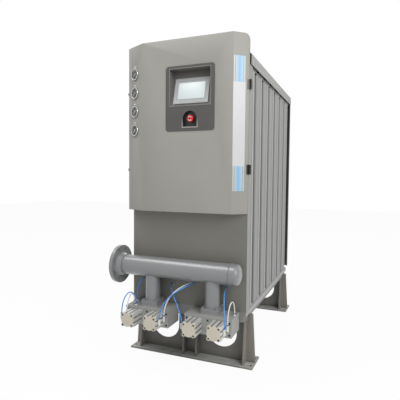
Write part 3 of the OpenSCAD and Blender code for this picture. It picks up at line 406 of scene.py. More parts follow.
def brushed(name, display, roughness, stretch, metallic=1.0):
    """Metal with a fine grain along one axis."""
    finish = Finish(name, roughness, metallic)
    grain = finish.noise(500.0, 2.0, stretch)
    drift = finish.noise(9.0, 3.0)
    tone = finish.mix((grain + drift) * 0.5, linear(display, 0.8), linear(display, 1.15))
    finish.bump(grain, 0.08, 0.0004)
    return finish.surface(tone, roughness + (grain - 0.5) * 0.25)


def barrel_alu(name):
    """Pale anodised barrels with painted shade along their sensor slots, two on each side."""
    finish = Finish(name, 0.38, 0.5)
    grain = finish.noise(500.0, 2.0, (1, 0.01, 1))
    across = abs(abs(abs(finish.x) - BRANCH_X[1]) - ACTUATOR_OUT)
    up = abs(finish.z - ACTUATOR_Z)
    # painted shade in the sensor slots
    slot_shade_top = (abs(across - SLOT_OUT) < 0.0026) * (up > SLOT_FLOOR)
    slot_shade_side = (abs(up - SLOT_OUT) < 0.0026) * (across > SLOT_FLOOR)
    tone = finish.mix(grain, linear((0.8, 0.8, 0.79)), linear((0.92, 0.92, 0.9)))
    tone = finish.mix((slot_shade_top + slot_shade_side).clipped(), tone, linear((0.2, 0.2, 0.2)))
    finish.bump(grain, 0.08, 0.0004)
    return finish.surface(tone, 0.38 + (grain - 0.5) * 0.2)


def moulded(name, display, roughness, dress=None):
    """Moulded plastic or rubber with a fine spark grain, under the tones that dress adds."""
    finish = Finish(name, roughness)
    speck = finish.noise(1400.0, 1.0)
    drift = finish.noise(12.0, 3.0)
    tone = finish.mix(drift, linear(display, 0.88), linear(display, 1.1))
    if dress:
        tone = dress(finish, tone)
    finish.bump(speck, 0.1, 0.0004)
    return finish.surface(tone, roughness + (speck - 0.5) * 0.2)


def lit_pocket_walls(finish, tone):
    """Painted light: the walls of the fascia's pocket are painted paler, for the light that reaches into
    the pocket.
    """
    # painted light inside the pocket
    pocket = ((finish.y - FASCIA_FRONT - 0.001) / 0.004).clipped()
    return finish.mix(pocket, tone, linear(colours().fascia, 2.0))


def button_plastic(name):
    """Red plastic with two pale turn-to-release arrows on its face."""
    finish = Finish(name, 0.3)
    side = finish.x - STOP_X
    rise = finish.z - STOP_Z
    radius = (side * side + rise * rise).root()
    turn = rise.math("ARCTAN2", side) * (180 / math.pi) + 180.0
    sweep = turn % 180.0
    band = radius.between(0.0095, 0.0122) * sweep.between(20.0, 118.0)
    tip = (abs(radius - 0.0108) < (150.0 - sweep) * 0.00011) * sweep.between(118.0, 150.0)
    face = finish.y < HOOD_FRONT - 0.0018
    arrows = ((band + tip) * face).clipped()
    tone = finish.mix(finish.noise(12.0), linear(colours().button, 0.88), linear(colours().button, 1.1))
    tone = finish.mix(arrows, tone, linear((0.9, 0.88, 0.86)))
    speck = finish.noise(1400.0, 1.0)
    finish.bump(speck, 0.06, 0.0003)
    return finish.surface(tone, 0.28 + (speck - 0.5) * 0.16)


def shroud_plastic(name):
    """Black recess of the stop button with a greyer rim at its face, which has a painted highlight that
    lightens it towards its bottom where light falls on it.
    """
    finish = Finish(name, 0.42)
    rim = finish.y < HOOD_FRONT - 0.0012
    # painted highlight: the rim grows lighter towards its bottom
    low = (1 - (finish.z - STOP_Z + 0.046) / 0.05).clipped()
    speck = finish.noise(1400.0, 1.0)
    edge = finish.mix(low, linear((0.34, 0.335, 0.325)), linear((0.62, 0.615, 0.6)))
    tone = finish.mix(rim, linear((0.16, 0.16, 0.157)), edge)
    finish.bump(speck, 0.1, 0.0004)
    return finish.surface(tone, 0.42 + (speck - 0.5) * 0.2)


def grainy(name, roughness, metallic, scale, light, dark, strength, distance):
    """Close round grains, of beads or of a sintered body."""
    finish = Finish(name, roughness, metallic)
    cells = finish.node("ShaderNodeTexVoronoi", {}, {"Vector": finish.where, "Scale": scale}, "Distance")
    tone = finish.mix(cells, linear(light), linear(dark))
    finish.bump(1 - cells, strength, distance)
    return finish.surface(tone)


def label_film(name):
    """Plain film: a white field between two bands of pale blue with white edge lines."""
    finish = Finish(name, 0.35)
    across = finish.along(RIGHT_FOLD, RIGHT_WING_TURN)
    ends = (finish.z > 1.553) + (finish.z < 1.114)
    band = across.between(0.015, 0.058) * ends
    core = (1 - abs(across - 0.0365) / 0.021).clipped()
    lines = (across.between(0.004, 0.01) + across.between(0.063, 0.069)) * ends
    back = finish.mix(ends, linear((0.8, 0.8, 0.805)), linear(colours().hood, 1.05))
    blue = finish.mix(core, linear((0.7, 0.785, 0.84)), linear(colours().label_blue))
    tone = finish.mix(band, back, blue)
    tone = finish.mix(lines, tone, linear((0.8, 0.79, 0.775)))
    drift = finish.noise(14.0)
    finish.bump(finish.noise(500.0), 0.04, 0.0003)
    return finish.surface(tone, 0.32 + (drift - 0.5) * 0.12)


def gauge_dial(name):
    """Dark dial with pale ticks over three quarters of a turn."""
    finish = Finish(name, 0.55)
    side = finish.along(LEFT_FOLD, LEFT_WING_TURN) + GAUGE_OUT
    half = GAUGE_PITCH / 2
    rise = (finish.z - (GAUGE_LOW - half)) % GAUGE_PITCH - half
    radius = (side * side + rise * rise).root()
    turn = rise.math("ARCTAN2", side) * (180 / math.pi)
    step = (turn - 45.0 + 13.5) % 27.0 - 13.5
    swept = 1 - turn.between(-134.0, -46.0)
    big = (abs(step) < 1.5) * radius.between(0.022, 0.0262)
    fine_step = (turn - 45.0 + 2.7) % 5.4 - 2.7
    fine = (abs(fine_step) < 0.5) * radius.between(0.0246, 0.0262)
    mask = ((big + fine) * swept).clipped()
    tone = finish.mix(mask, linear((0.09, 0.095, 0.1)), linear((0.9, 0.9, 0.88)))
    drift = finish.noise(60.0)
    return finish.surface(tone, 0.5 + (drift - 0.5) * 0.2)


def screen_face(name):
    """Pale lit screen, a touch brighter towards the top, with faint smears."""
    finish = Finish(name, 0.18)
    rise = ((finish.z - 1.47) / 0.13).clipped()
    tone = finish.mix(rise, linear(colours().screen, 0.86), linear(colours().screen))
    finish.feed(finish.shader, {"Emission Color": tone, "Emission Strength": 0.17})
    smear = finish.noise(24.0, 4.0)
    return finish.surface(tone, 0.3 + (smear - 0.5) * 0.2)


def clear_lens(name):
    """Thin clear gauge lens."""
    finish = Finish(name, 0.05, 0.0, IOR=1.3, Transmission_Weight=1.0)
    smear = finish.noise(40.0, 3.0)
    return finish.surface((1, 1, 1, 1), 0.03 + smear * 0.06)


def tube_plastic(name, display):
    """Calibrated plastic tube with a soft shine."""
    finish = Finish(name, 0.3)
    drift = finish.noise(40.0, 2.0)
    tone = finish.mix(drift, linear(display, 0.85), linear(display, 1.15))
    finish.bump(finish.noise(800.0, 1.0), 0.05, 0.0003)
    return finish.surface(tone, 0.26 + (drift - 0.5) * 0.16)


def weld_metal(name, display):
    """Painted weld bead with scale ripples."""
    finish = Finish(name, 0.45)
    ripple = finish.noise(160.0, 2.0)
    tone = finish.mix(ripple, linear(display, 0.8), linear(display, 1.1))
    finish.bump(ripple, 0.6, 0.001)
    return finish.surface(tone, 0.42 + (ripple - 0.5) * 0.3)


FINISH_MAKERS = {
    "hood_paint": lambda n: painted(n, colours().hood, 0.5),
    "panel_sheet": lambda n: painted(n, colours().panel, 0.52, dress=lit_side_folds),
    "rear_paint": lambda n: painted(n, colours().rear, 0.55),
    "cover_paint": lambda n: painted(n, colours().cover, 0.5),
    "stand_paint": lambda n: painted(n, colours().stand, 0.55, 500.0, dress=stand_dust_and_light),
    "pipe_paint": lambda n: painted(n, colours().pipe, 0.3, 420.0, 0.04,
                                    Coat_Weight=1.0, Coat_Roughness=0.3),
    "block_paint": lambda n: painted(n, colours().block, 0.45, 500.0),
    "cap_coat": lambda n: painted(n, colours().cap, 0.42, 800.0),
    "fascia_coat": lambda n: moulded(n, colours().fascia, 0.5, lit_pocket_walls),
    "column_coat": column_coat,
    # painted shade: the top manifold's pockets under the cover's skirt are painted near black, beside the
    # columns' painted ridge highlight
    "shoulder_coat": lambda n: column_coat(n, 0.06, 1.0),
    "bead_bed": lambda n: grainy(n, 0.8, 0.0, 260.0, (0.9, 0.9, 0.87), (0.62, 0.62, 0.6), 0.7, 0.002),
    "label_film": label_film,
    "gauge_dial": gauge_dial,
    "screen_face": screen_face,
    "clear_lens": clear_lens,
    "silencer_bronze": lambda n: grainy(n, 0.7, 0.3, 600.0, (0.52, 0.47, 0.36), (0.24, 0.22, 0.18),
                                        0.6, 0.001),
    "weld_grey": lambda n: weld_metal(n, colours().pipe),
    "weld_dark": lambda n: weld_metal(n, colours().stand),
    "barrel_alu": barrel_alu,
    "shroud_plastic": shroud_plastic,
    "button_plastic": button_plastic,
    "tube_blue": lambda n: tube_plastic(n, colours().tube_blue),
    "tube_white": lambda n: tube_plastic(n, colours().tube_white),
}

# Display colour, roughness, grain along each axis and metallic share of plain metals
METALS = {
    "steel_zinc": ((0.68, 0.68, 0.66), 0.36, (1, 1, 0.1)),
    "lock_steel": ((0.2, 0.2, 0.198), 0.34, (0.1, 1, 1)),
    "gauge_chrome": ((0.78, 0.78, 0.78), 0.2, (1, 1, 1)),
    "screw_black": ((0.13, 0.13, 0.13), 0.42, (1, 1, 1), 0.6),
}

# Display colour and roughness of plain mouldings
MOULDINGS = {
    "bezel_coat": ((0.66, 0.67, 0.67), 0.4),
    "lip_coat": ((0.5, 0.495, 0.48), 0.45),
    "gasket_rubber": ((0.08, 0.08, 0.08), 0.75),
    "fitting_plastic": ((0.86, 0.86, 0.84), 0.4),
    "collar_blue": ((0.1, 0.3, 0.6), 0.4),
    "device_plastic": ((0.62, 0.64, 0.65), 0.5),
    "device_dark": ((0.2, 0.21, 0.22), 0.45),
    "disc_plastic": ((0.7, 0.68, 0.6), 0.45),
    "hinge_black": ((0.05, 0.05, 0.05), 0.24),
    "needle_white": ((0.9, 0.88, 0.84), 0.4),
    "tag_film": ((0.85, 0.85, 0.84), 0.4),
}


def finish_named(name):
    """The finish of that name, made once; its material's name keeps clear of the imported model's own."""
    full = name + "_finish"
    made = bpy.data.materials.get(full)
    if made:
        return made
    if name in METALS:
        return brushed(full, *METALS[name])
    if name in MOULDINGS:
        return moulded(full, *MOULDINGS[name])
    return FINISH_MAKERS[name](full)


def deselect():
    if bpy.context.mode != "OBJECT":
        bpy.ops.object.mode_set(mode="OBJECT")
    bpy.ops.object.select_all(action="DESELECT")


def take(*objects):
    """Make these the selected objects, the first one active."""
    deselect()
    for obj in objects:
        obj.select_set(True)
    bpy.context.view_layer.objects.active = objects[0]
    return objects[0]


@contextmanager
def editing(obj, kind="VERT", action="SELECT"):
    """Edit mode on an object, with all or none of it selected."""
    take(obj)
    bpy.ops.object.mode_set(mode="EDIT")
    bpy.ops.mesh.select_mode(type=kind)
    bpy.ops.mesh.select_all(action=action)
    yield
    bpy.ops.object.mode_set(mode="OBJECT")


def settle(obj):
    """Put an object's place into its mesh."""
    take(obj)
    bpy.ops.object.transform_apply(location=True, rotation=True, scale=True)
    return obj


def placed(obj, matrix):
    obj.matrix_world = matrix @ obj.matrix_world
    return settle(obj)


def block(low, high):
    low = Vector(low)
    high = Vector(high)
    deselect()
    bpy.ops.mesh.primitive_cube_add(size=1, location=(low + high) / 2)
    bpy.context.object.scale = high - low
    return settle(bpy.context.object)


def rod(start, end, radius, sides=40):
    start = Vector(start)
    end = Vector(end)
    run = end - start
    deselect()
    bpy.ops.mesh.primitive_cylinder_add(vertices=sides, radius=radius, depth=run.length)
    obj = bpy.context.object
    turn = run.to_track_quat("Z", "Y").to_matrix().to_4x4()
    obj.matrix_world = Matrix.Translation((start + end) / 2) @ turn
    return settle(obj)


def modified(obj, kind, **values):
    """Add a modifier with these values and apply it."""
    take(obj)
    modifier = obj.modifiers.new(kind.title(), kind)
    for key, value in values.items():
        setattr(modifier, key, value)
    bpy.ops.object.modifier_apply(modifier=modifier.name)
    return obj


def rounded(obj, width, segments=2, angle=35):
    return modified(obj, "BEVEL", width=width, segments=segments, limit_method="ANGLE",
                    angle_limit=math.radians(angle), harden_normals=False)


def cut(obj, tool):
    """Take the tool's shape out of a piece."""
    modified(obj, "BOOLEAN", operation="DIFFERENCE", object=tool, solver="EXACT")
    bpy.data.objects.remove(tool)
    return obj


def turned(profile, steps=48):
    """Spin a chain of (radius, out) points about the Y axis; out runs towards -Y."""
    deselect()
    bpy.ops.mesh.primitive_plane_add(size=0.01)
    obj = bpy.context.object
    with editing(obj):
        bpy.ops.mesh.delete(type="VERT")
        mesh = bmesh.from_edit_mesh(obj.data)
        chain = [mesh.verts.new((radius, -out, 0)) for radius, out in profile]
        for first, second in zip(chain, chain[1:]):
            mesh.edges.new((first, second))
        bmesh.update_edit_mesh(obj.data)
        bpy.ops.mesh.select_all(action="SELECT")
        bpy.ops.mesh.spin(steps=steps, angle=2 * math.pi, center=(0, 0, 0), axis=(0, 1, 0))
        bpy.ops.mesh.select_all(action="SELECT")
        bpy.ops.mesh.remove_doubles(threshold=MERGE)
        bpy.ops.mesh.normals_make_consistent(inside=False)
    return obj


def copied(obj, matrix):
    """A copy with its own mesh, moved by the matrix."""
    take(obj)
    bpy.ops.object.duplicate(linked=False)
    return placed(bpy.context.object, matrix)


def joined(objects):
    take(*objects)
    if len(objects) > 1:
        bpy.ops.object.join()
    return bpy.context.object


def repeated(model, matrices):
    """One piece made of copies of a model; the model itself is dropped."""
    copies = [copied(model, matrix) for matrix in matrices]
    bpy.data.objects.remove(model)
    return joined(copies)


def kept(obj, name, body, finish, smooth=35):
    """Name a finished piece, give it its finish and let it ride on its body."""
    settle(obj)
    obj.name = name
    obj.data.name = name
    bpy.ops.object.shade_smooth_by_angle(angle=math.radians(smooth))
    obj.data.materials.clear()
    obj.data.materials.append(finish_named(finish))
    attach(obj, body)
    return obj


def node_copy(name):
    """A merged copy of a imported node's mesh."""
    source = bpy.data.objects[name]
    obj = bpy.data.objects.new(name + "_shaped", source.data.copy())
    bpy.context.scene.collection.objects.link(obj)
    obj.matrix_world = source.matrix_world
    with editing(obj):
        bpy.ops.mesh.customdata_custom_splitnormals_clear()
        bpy.ops.mesh.remove_doubles(threshold=MERGE)
        bpy.ops.mesh.dissolve_limited(angle_limit=math.radians(1))
    return obj


def pushed(obj, chosen, move):
    """Move those of a piece's vertices whose place the test picks."""
    with editing(obj, action="DESELECT"):
        mesh = bmesh.from_edit_mesh(obj.data)
        picked = [vert for vert in mesh.verts if chosen(vert.co)]
        if not picked:
            raise RuntimeError("no vertex to move on " + obj.name)
        for vert in picked:
            vert.select_set(True)
        bmesh.update_edit_mesh(obj.data)
        bpy.ops.transform.translate(value=move)
    return obj


def sliced(obj, place, normal, **settings):
    """Cut a piece's faces along a plane."""
    with editing(obj):
        bpy.ops.mesh.bisect(plane_co=place, plane_no=normal, **settings)
    return obj


def replacing(piece, node, name, finish, smooth=30):
    """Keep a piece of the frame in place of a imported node."""
    kept(piece, name, "frame", finish, smooth)
    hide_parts(node)


def gauge_places():
    """Frames of the gauges on the left wing: X along it, -Y out of it, Z up."""
    spin = Matrix.Rotation(LEFT_WING_TURN, 4, "Z")
    seat = LEFT_FOLD + spin @ Vector((-GAUGE_OUT, 0, 0))
    heights = [GAUGE_LOW + GAUGE_PITCH * k for k in range(4)]
    return [Matrix.Translation(seat + Vector((0, 0, z))) @ spin for z in heights]


def curve_rod(name, line, radius, resolution, closed=False):
    """A round curve along a line of points."""
    data = bpy.data.curves.new(name, "CURVE")
    data.dimensions = "3D"
    data.bevel_depth = radius
    data.bevel_resolution = resolution
    data.use_fill_caps = not closed
    spline = data.splines.new("POLY")
    spline.points.add(len(line) - 1)
    for point, place in zip(spline.points, line):
        point.co = (*place, 1)
    spline.use_smooth = True
    spline.use_cyclic_u = closed
    obj = bpy.data.objects.new(name, data)
    bpy.context.scene.collection.objects.link(obj)
    return obj


def cubic(guides, t):
    """Point on the smooth curve of four guides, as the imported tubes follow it."""
    u = 1 - t
    weights = (u * u * u, 3 * u * u * t, 3 * u * t * t, t * t * t)
    return sum((Vector(g) * w for g, w in zip(guides, weights)), Vector((0, 0, 0)))


def socket_screw(radius, height):
    """Socket head screw, its head towards -Y, its seat at the origin."""
    head = rounded(rod((0, 0, 0), (0, -height, 0), radius, 32), radius * 0.12)
    key = rod((0, -height * 0.45, 0), (0, -height * 1.5, 0), radius * 0.55, 6)
    return cut(head, key)


class DRYER_OT_stage(bpy.types.Operator):
    """Camera at the front right, pale floor and soft studio light"""

    bl_idname = "dryer.stage"
    bl_label = "Stage"

    def execute(self, context):
        scene = context.scene
        scene.view_settings.view_transform = "Standard"
        self.add_camera(scene)
        self.add_floor()
        self.add_world(scene)
        self.add_lamp("key_lamp", (3.6, -2.8, 3.2), (2.6, 2.6), 122)
        self.add_lamp("top_lamp", (-1.3, -1.55, 3.9), (2.5, 1.3), 56)
        self.add_lamp("back_lamp", (-1.5, 3.8, 3.2), (2.4, 2.4), 45)
        return {"FINISHED"}

    def add_camera(self, scene):
        camera = bpy.data.objects.new("camera", bpy.data.cameras.new("camera"))
        scene.collection.objects.link(camera)
        camera.data.lens = 35.97
        camera.data.sensor_width = 36
        camera.data.clip_end = 60
        yaw = math.radians(22.03)
        pitch = math.radians(3.03)
        level = math.cos(pitch)
        ahead = Vector((-math.sin(yaw) * level, math.cos(yaw) * level, -math.sin(pitch)))
        look = ahead.to_track_quat("-Z", "Y").to_matrix().to_4x4()
        roll = Matrix.Rotation(math.radians(0.5), 4, "Z")
        camera.matrix_world = Matrix.Translation((0.915, -2.696, 1.046)) @ look @ roll
        scene.camera = camera

    def add_floor(self):
        deselect()
        bpy.ops.mesh.primitive_plane_add(size=24, location=(0, 0, -0.0005))
        floor = settle(bpy.context.object)
        floor.name = "floor"
        finish = Finish("floor_white", 0.9)
        grain = finish.noise(3.0)
        finish.surface(finish.mix(grain, (0.86, 0.86, 0.86, 1), (0.9, 0.9, 0.9, 1)))
        seen = finish.seen_rays() * 0.95
        glow = finish.node("ShaderNodeEmission", {}, {"Color": (1, 1, 1, 1), "Strength": 1.0})
        shader = Value(finish, finish.shader.outputs[0])
        blended = finish.node("ShaderNodeMixShader", {}, {0: seen, 1: shader, 2: glow})
        finish.feed(finish.tree.nodes["Material Output"], {"Surface": blended})
        floor.data.materials.append(finish.material)

    def add_world(self, scene):
        world = bpy.data.worlds.new("studio")
        world.use_nodes = True
        sky = Nodes(world.node_tree)
        soft = sky.tree.nodes["Background"]
        sky.feed(soft, {"Color": (1, 1, 1, 1), "Strength": 0.4})
        white = sky.node("ShaderNodeBackground", {}, {"Color": (1, 1, 1, 1), "Strength": 1.0})
        sockets = {0: sky.seen_rays(), 1: Value(sky, soft.outputs[0]), 2: white}
        mixed = sky.node("ShaderNodeMixShader", {}, sockets)
        sky.feed(sky.tree.nodes["World Output"], {"Surface": mixed})
        scene.world = world

    def add_lamp(self, name, place, size, power):
        data = bpy.data.lights.new(name, "AREA")
        data.shape = "RECTANGLE"
        data.size, data.size_y = size
        data.energy = power
        lamp = bpy.data.objects.new(name, data)
        bpy.context.scene.collection.objects.link(lamp)
        aim = Vector((0, 0, 0.9)) - Vector(place)
        lamp.matrix_world = Matrix.Translation(place) @ aim.to_track_quat("-Z", "Y").to_matrix().to_4x4()


class DRYER_OT_tubes(bpy.types.Operator):
    """Eight control tubes between actuators, valve blocks and the panel"""

    bl_idname = "dryer.tubes"
    bl_label = "Control tubes"

    def execute(self, context):
        for node, (tint, guides) in TUBE_ROUTES.items():
            self.add_tube(node, tint, guides)
        return {"FINISHED"}

    def add_tube(self, node, tint, guides):
        line = [cubic([(x, y + PANEL_FRONT * 1000, z) for x, y, z in guides], i / (TUBE_POINTS - 1)) / 1000
                for i in range(TUBE_POINTS)]
        tube = curve_rod("control_" + node, line, sizes().tube_diameter / 2, 4)
        tube.data.materials.append(finish_named("tube_" + tint))
        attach(tube, "frame")
        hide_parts(node)
        length = sum((b - a).length for a, b in zip(line, line[1:]))


class DRYER_OT_stands(bpy.types.Operator):
    """Welded stands with ears beside the rails, tapered ribs and wide U notches"""

    bl_idname = "dryer.stands"
    bl_label = "Stands"

    def execute(self, context):
        for name, y in zip(("front_stand", "rear_stand"), STAND_Y):
            stand = joined([self.base(), self.web()] + self.ribs() + self.pads())
            placed(stand, Matrix.Translation((0, y, 0)))
            replacing(stand, name, name + "_weldment", "stand_paint")
        return {"FINISHED"}

    def base(self):
        x, y = STAND_BASE
        plate = block((-x, -y, 0), (x, y, STAND_PLATE))
        for x in ANCHOR_X:
            for y in ANCHOR_Y:
                cut(plate, rod((x, y, -STAND_PLATE / 2), (x, y, 2 * STAND_PLATE), ANCHOR_R, 32))
        return rounded(plate, 0.0006)

    def web(self):
        half = STAND_PLATE / 2
        deep = 2 * STAND_PLATE
        over = STAND_EAR + 0.013
        web = block((-WEB_FOOT, -half, STAND_PLATE), (WEB_FOOT, half, STAND_EAR))
        for side in (-1, 1):
            pushed(web, lambda co: co.z > NOTCH_Z and co.x * side > 0, (-WEB_TAPER * side, 0, 0))
        cut(web, block((-EAR_IN, -deep, STAND_WEB), (EAR_IN, deep, over)))
        for x in BRANCH_X:
            cut(web, rod((x, -deep, NOTCH_Z), (x, deep, NOTCH_Z), NOTCH_R, 96))
            reach = NOTCH_R - 0.0001
            cut(web, block((x - reach, -deep, NOTCH_Z), (x + reach, deep, over)))
        return rounded(web, 0.0006)

    def ribs(self):
        half = STAND_PLATE / 2
        ribs = []
        for x in RIB_X:
            rib = block((x - half, -RIB_FOOT, STAND_PLATE), (x + half, RIB_FOOT, STAND_WEB))
            for side in (-1, 1):
                pushed(rib, lambda co: co.z > NOTCH_Z and co.y * side > 0, (0, -RIB_TAPER * side, 0))
            ribs.append(rounded(rib, 0.0008))
        return ribs

    def pads(self):
        pads = [block((x0, -PAD_HALF, STAND_WEB), (x1, PAD_HALF, PAD_TOP)) for x0, x1 in PAD_X]
        return [rounded(pad, 0.0008) for pad in pads]


class DRYER_OT_shell(bpy.types.Operator):
    """Columns with wide side grooves, rails with a recessed lip, cover tray and folded panels"""

    bl_idname = "dryer.shell"
    bl_label = "Shell"

    def execute(self, context):
        for index in range(MODULES):
            self.add_column(index)
        self.add_rails()
        self.add_top()
        self.add_front_panel()
        self.add_rear_panel()
        return {"FINISHED"}

    def keep(self, piece, name, slot, node):
        replacing(piece, node, name, NODE_FINISHES[node])

    def add_column(self, index):
        node = f"column_module_{index + 1}"
        start = STACK_FRONT + MODULE_PITCH * index
        column = node_copy(node)
        pushed(column, lambda co: abs(co.x) > 0.331 and 0.09 < co.y - start < 0.14, (0, -GROOVE_WIDER, 0))
        pushed(column, lambda co: abs(co.x) > 0.31 and co.y - start > 0.1715, (0, GAP_CLOSER, 0))
        self.keep(column, f"column_{index + 1}_extrusion", "column_paint", node)

    def add_rails(self):
        rails = node_copy("bottom_manifold")
        for z in (RAIL_LIP - LIP_RAMP, RAIL_LIP):
            sliced(rails, (0, 0, z), (0, 0, 1))
        outer = PANEL_SIDE - 0.0005
        below = RAIL_LIP - LIP_RAMP + 0.001
        for side in (-1, 1):
            pushed(rails, lambda co: co.x * side > outer and co.z < below, (-LIP_DEEP * side, 0, 0))
        self.keep(rails, "rail_deck", "column_paint", "bottom_manifold")

    def add_top(self):
        manifold = node_copy("top_manifold")
        pushed(manifold, lambda co: co.z > 1.71, (0, 0, -TOP_LOWER))
        self.keep(manifold, "manifold_shoulders", "column_paint", "top_manifold")
        cover = node_copy("top_cover")
        pushed(cover, lambda co: co.z > 1.71, (0, 0, -TOP_LOWER))
        pushed(cover, lambda co: co.z < 1.66, (0, 0, -SKIRT_DROP))
        for side in (-1, 1):
            pushed(cover, lambda co: co.x * side > 0.359, (-SKIRT_DROP * side, 0, 0))
        self.keep(rounded(cover, 0.0008), "cover_tray", "panel_paint", "top_cover")

    def add_front_panel(self):
        panel = node_copy("front_panel")
        pushed(panel, lambda co: co.y > -0.6, (0, RETURN_LONGER, 0))
        self.keep(panel, "panel_tray", "panel_paint", "front_panel")

    def add_rear_panel(self):
        tray = block((-0.358, 0.598, 0.335), (0.358, 0.626, 1.6505))
        cut(tray, block((-0.356, 0.58, 0.3), (0.356, 0.622, 1.7)))
        pieces = [rounded(tray, 0.0006)]
        for x in (-0.15, 0.15):
            for z in (0.502, 0.998, 1.507):
                pieces.append(rod((x, 0.597, z), (x, 0.622, z), 0.012))
        self.keep(joined(pieces), "rear_tray", "panel_paint", "rear_panel")


class DRYER_OT_inlet(bpy.types.Operator):
    """Inlet pipework with a dished end cap"""

    bl_idname = "dryer.inlet"
    bl_label = "Inlet pipework"

    def execute(self, context):
        pipe = node_copy("inlet_manifold")
        cap_x = CAP_SEAM - 0.0008
        sliced(pipe, (cap_x + 0.0003, 0, 0), (1, 0, 0), clear_outer=True, use_fill=True)
        at = Matrix.Translation((cap_x, PIPE_Y, PIPE_Z)) @ Matrix.Rotation(math.pi / 2, 4, "Z")
        cap = placed(turned(self.dished_profile(), 72), at)
        replacing(joined([pipe, cap]), "inlet_manifold", "inlet_pipework", "pipe_paint")
        return {"FINISHED"}

    def dished_profile(self, steps=10):
        """Crown, knuckle and skirt of a dished head, from its apex to its seam."""
        radius = PIPE_R + 0.001
        crown = 2 * radius
        knuckle = 0.02
        skirt = 0.03
        middle = radius - knuckle
        reach = crown - knuckle
        tip = math.asin(middle / reach)
        back = reach * math.cos(tip)
        points = []
        for i in range(steps + 1):
            turn = tip * i / steps
            points.append((crown * math.sin(turn), skirt + crown * math.cos(turn) - back))
        for i in range(1, steps + 1):
            turn = tip + (math.pi / 2 - tip) * i / steps
            points.append((middle + knuckle * math.sin(turn), skirt + knuckle * math.cos(turn)))
        return points + [(radius, 0), (0, 0)]


class DRYER_OT_hood(bpy.types.Operator):
    """Hood with rounded folds and eased edges"""

    bl_idname = "dryer.hood"
    bl_label = "Hood"

    def execute(self, context):
        hood = node_copy("hood")
        with editing(hood, "EDGE", "DESELECT"):
            mesh = bmesh.from_edit_mesh(hood.data)
            folds = [edge for edge in mesh.edges if self.is_fold(edge)]
            if not folds:
                raise RuntimeError("the hood's folds were not found")
            for edge in folds:
                edge.select_set(True)
            bmesh.update_edit_mesh(hood.data)
            bpy.ops.mesh.bevel(offset=sizes().hood_bend, segments=4, affect="EDGES")
        rounded(hood, 0.0006, 2, 50)
        modified(hood, "DISPLACE", strength=-sizes().hood_clear, mid_level=0.0)
        kept(hood, "hood_skin", "hood_door", "hood_paint", 30)
        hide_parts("hood")
        return {"FINISHED"}

    def is_fold(self, edge):
        """A long upright edge at one of the hood's two folds."""
        first, second = (vert.co for vert in edge.verts)
        middle = (first + second) / 2
        near = min(abs(middle.x - LEFT_FOLD.x), abs(middle.x - RIGHT_FOLD.x)) < 0.004
        return abs(second.z - first.z) > 0.5 and near and middle.y < HOOD_FRONT + 0.004


class DRYER_OT_controls(bpy.types.Operator):
    """Fascia, screen face and mask, pocket lip and stop button"""

    bl_idname = "dryer.controls"
    bl_label = "Controls"

    def execute(self, context):
        self.add_fascia()
        self.add_screen()
        self.add_lip()
        self.add_button()
        return {"FINISHED"}

    def add_screen(self):
        lean = Matrix.Translation(SCREEN_FOOT) @ Matrix.Rotation(SCREEN_LEAN, 4, "X")
        face = rounded(block((-0.08, -0.0056, 0.037), (0.08, -0.005, 0.135)), 0.0002, 2)
        kept(placed(face, lean), "screen_face", "hood_door", "screen_face")
        mask = block((-0.0842, -0.006, 0.0348), (0.0842, -0.0051, 0.1452))
        cut(mask, block((-0.0785, -0.01, 0.0385), (0.0785, 0, 0.1335)))
        kept(placed(rounded(mask, 0.0002), lean), "screen_mask", "hood_door", "bezel_coat")

    def add_lip(self):
        lip = block((-0.0865, -0.6912, 1.441), (0.1605, -0.6895, 1.647))
        cut(lip, block((-0.0832, -0.70, 1.4445), (0.1572, -0.68, 1.6435)))
        rounded(lip, 0.0005, 2)
        kept(lip, "pocket_lip", "hood_door", "lip_coat")

    def add_button(self):
        profile = [(0, 0.0222), (0.012, 0.0222), (0.0165, 0.0218), (0.019, 0.0203), (0.02, 0.018),
                   (0.0197, 0.0155), (0.018, 0.0139), (0.008, 0.0135), (0.008, -0.0034), (0.012, -0.0034),
                   (0.012, -0.006), (0, -0.006)]
        at = Matrix.Translation((STOP_X, HOOD_FRONT + 0.0195, STOP_Z))
        head = placed(turned(profile, 56), at)
        kept(head, "stop_mushroom", "stop_button", "button_plastic", 40)
        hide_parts("stop_button")

    def add_fascia(self):
        """The fascia with rounder corners."""
        plate = node_copy("fascia")
        for x, inward_x in zip(FASCIA_X, (1, -1)):
            for z, inward_z in zip(FASCIA_Z, (1, -1)):
                xs = sorted((x + inward_x * FASCIA_CORNER, x - inward_x * 0.001))
                zs = sorted((z + inward_z * FASCIA_CORNER, z - inward_z * 0.001))
                tool = block((xs[0], FASCIA_FRONT - 0.002, zs[0]), (xs[1], FASCIA_FRONT + 0.003, zs[1]))
                middle = Vector((x + inward_x * FASCIA_CORNER, FASCIA_FRONT, z + inward_z * FASCIA_CORNER))
                out = Vector((0, 0.01, 0))
                cut(plate, cut(tool, rod(middle - out, middle + out, FASCIA_CORNER, 96)))
        kept(plate, "fascia_plate", "hood_door", "fascia_coat", 30)
        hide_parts("fascia")


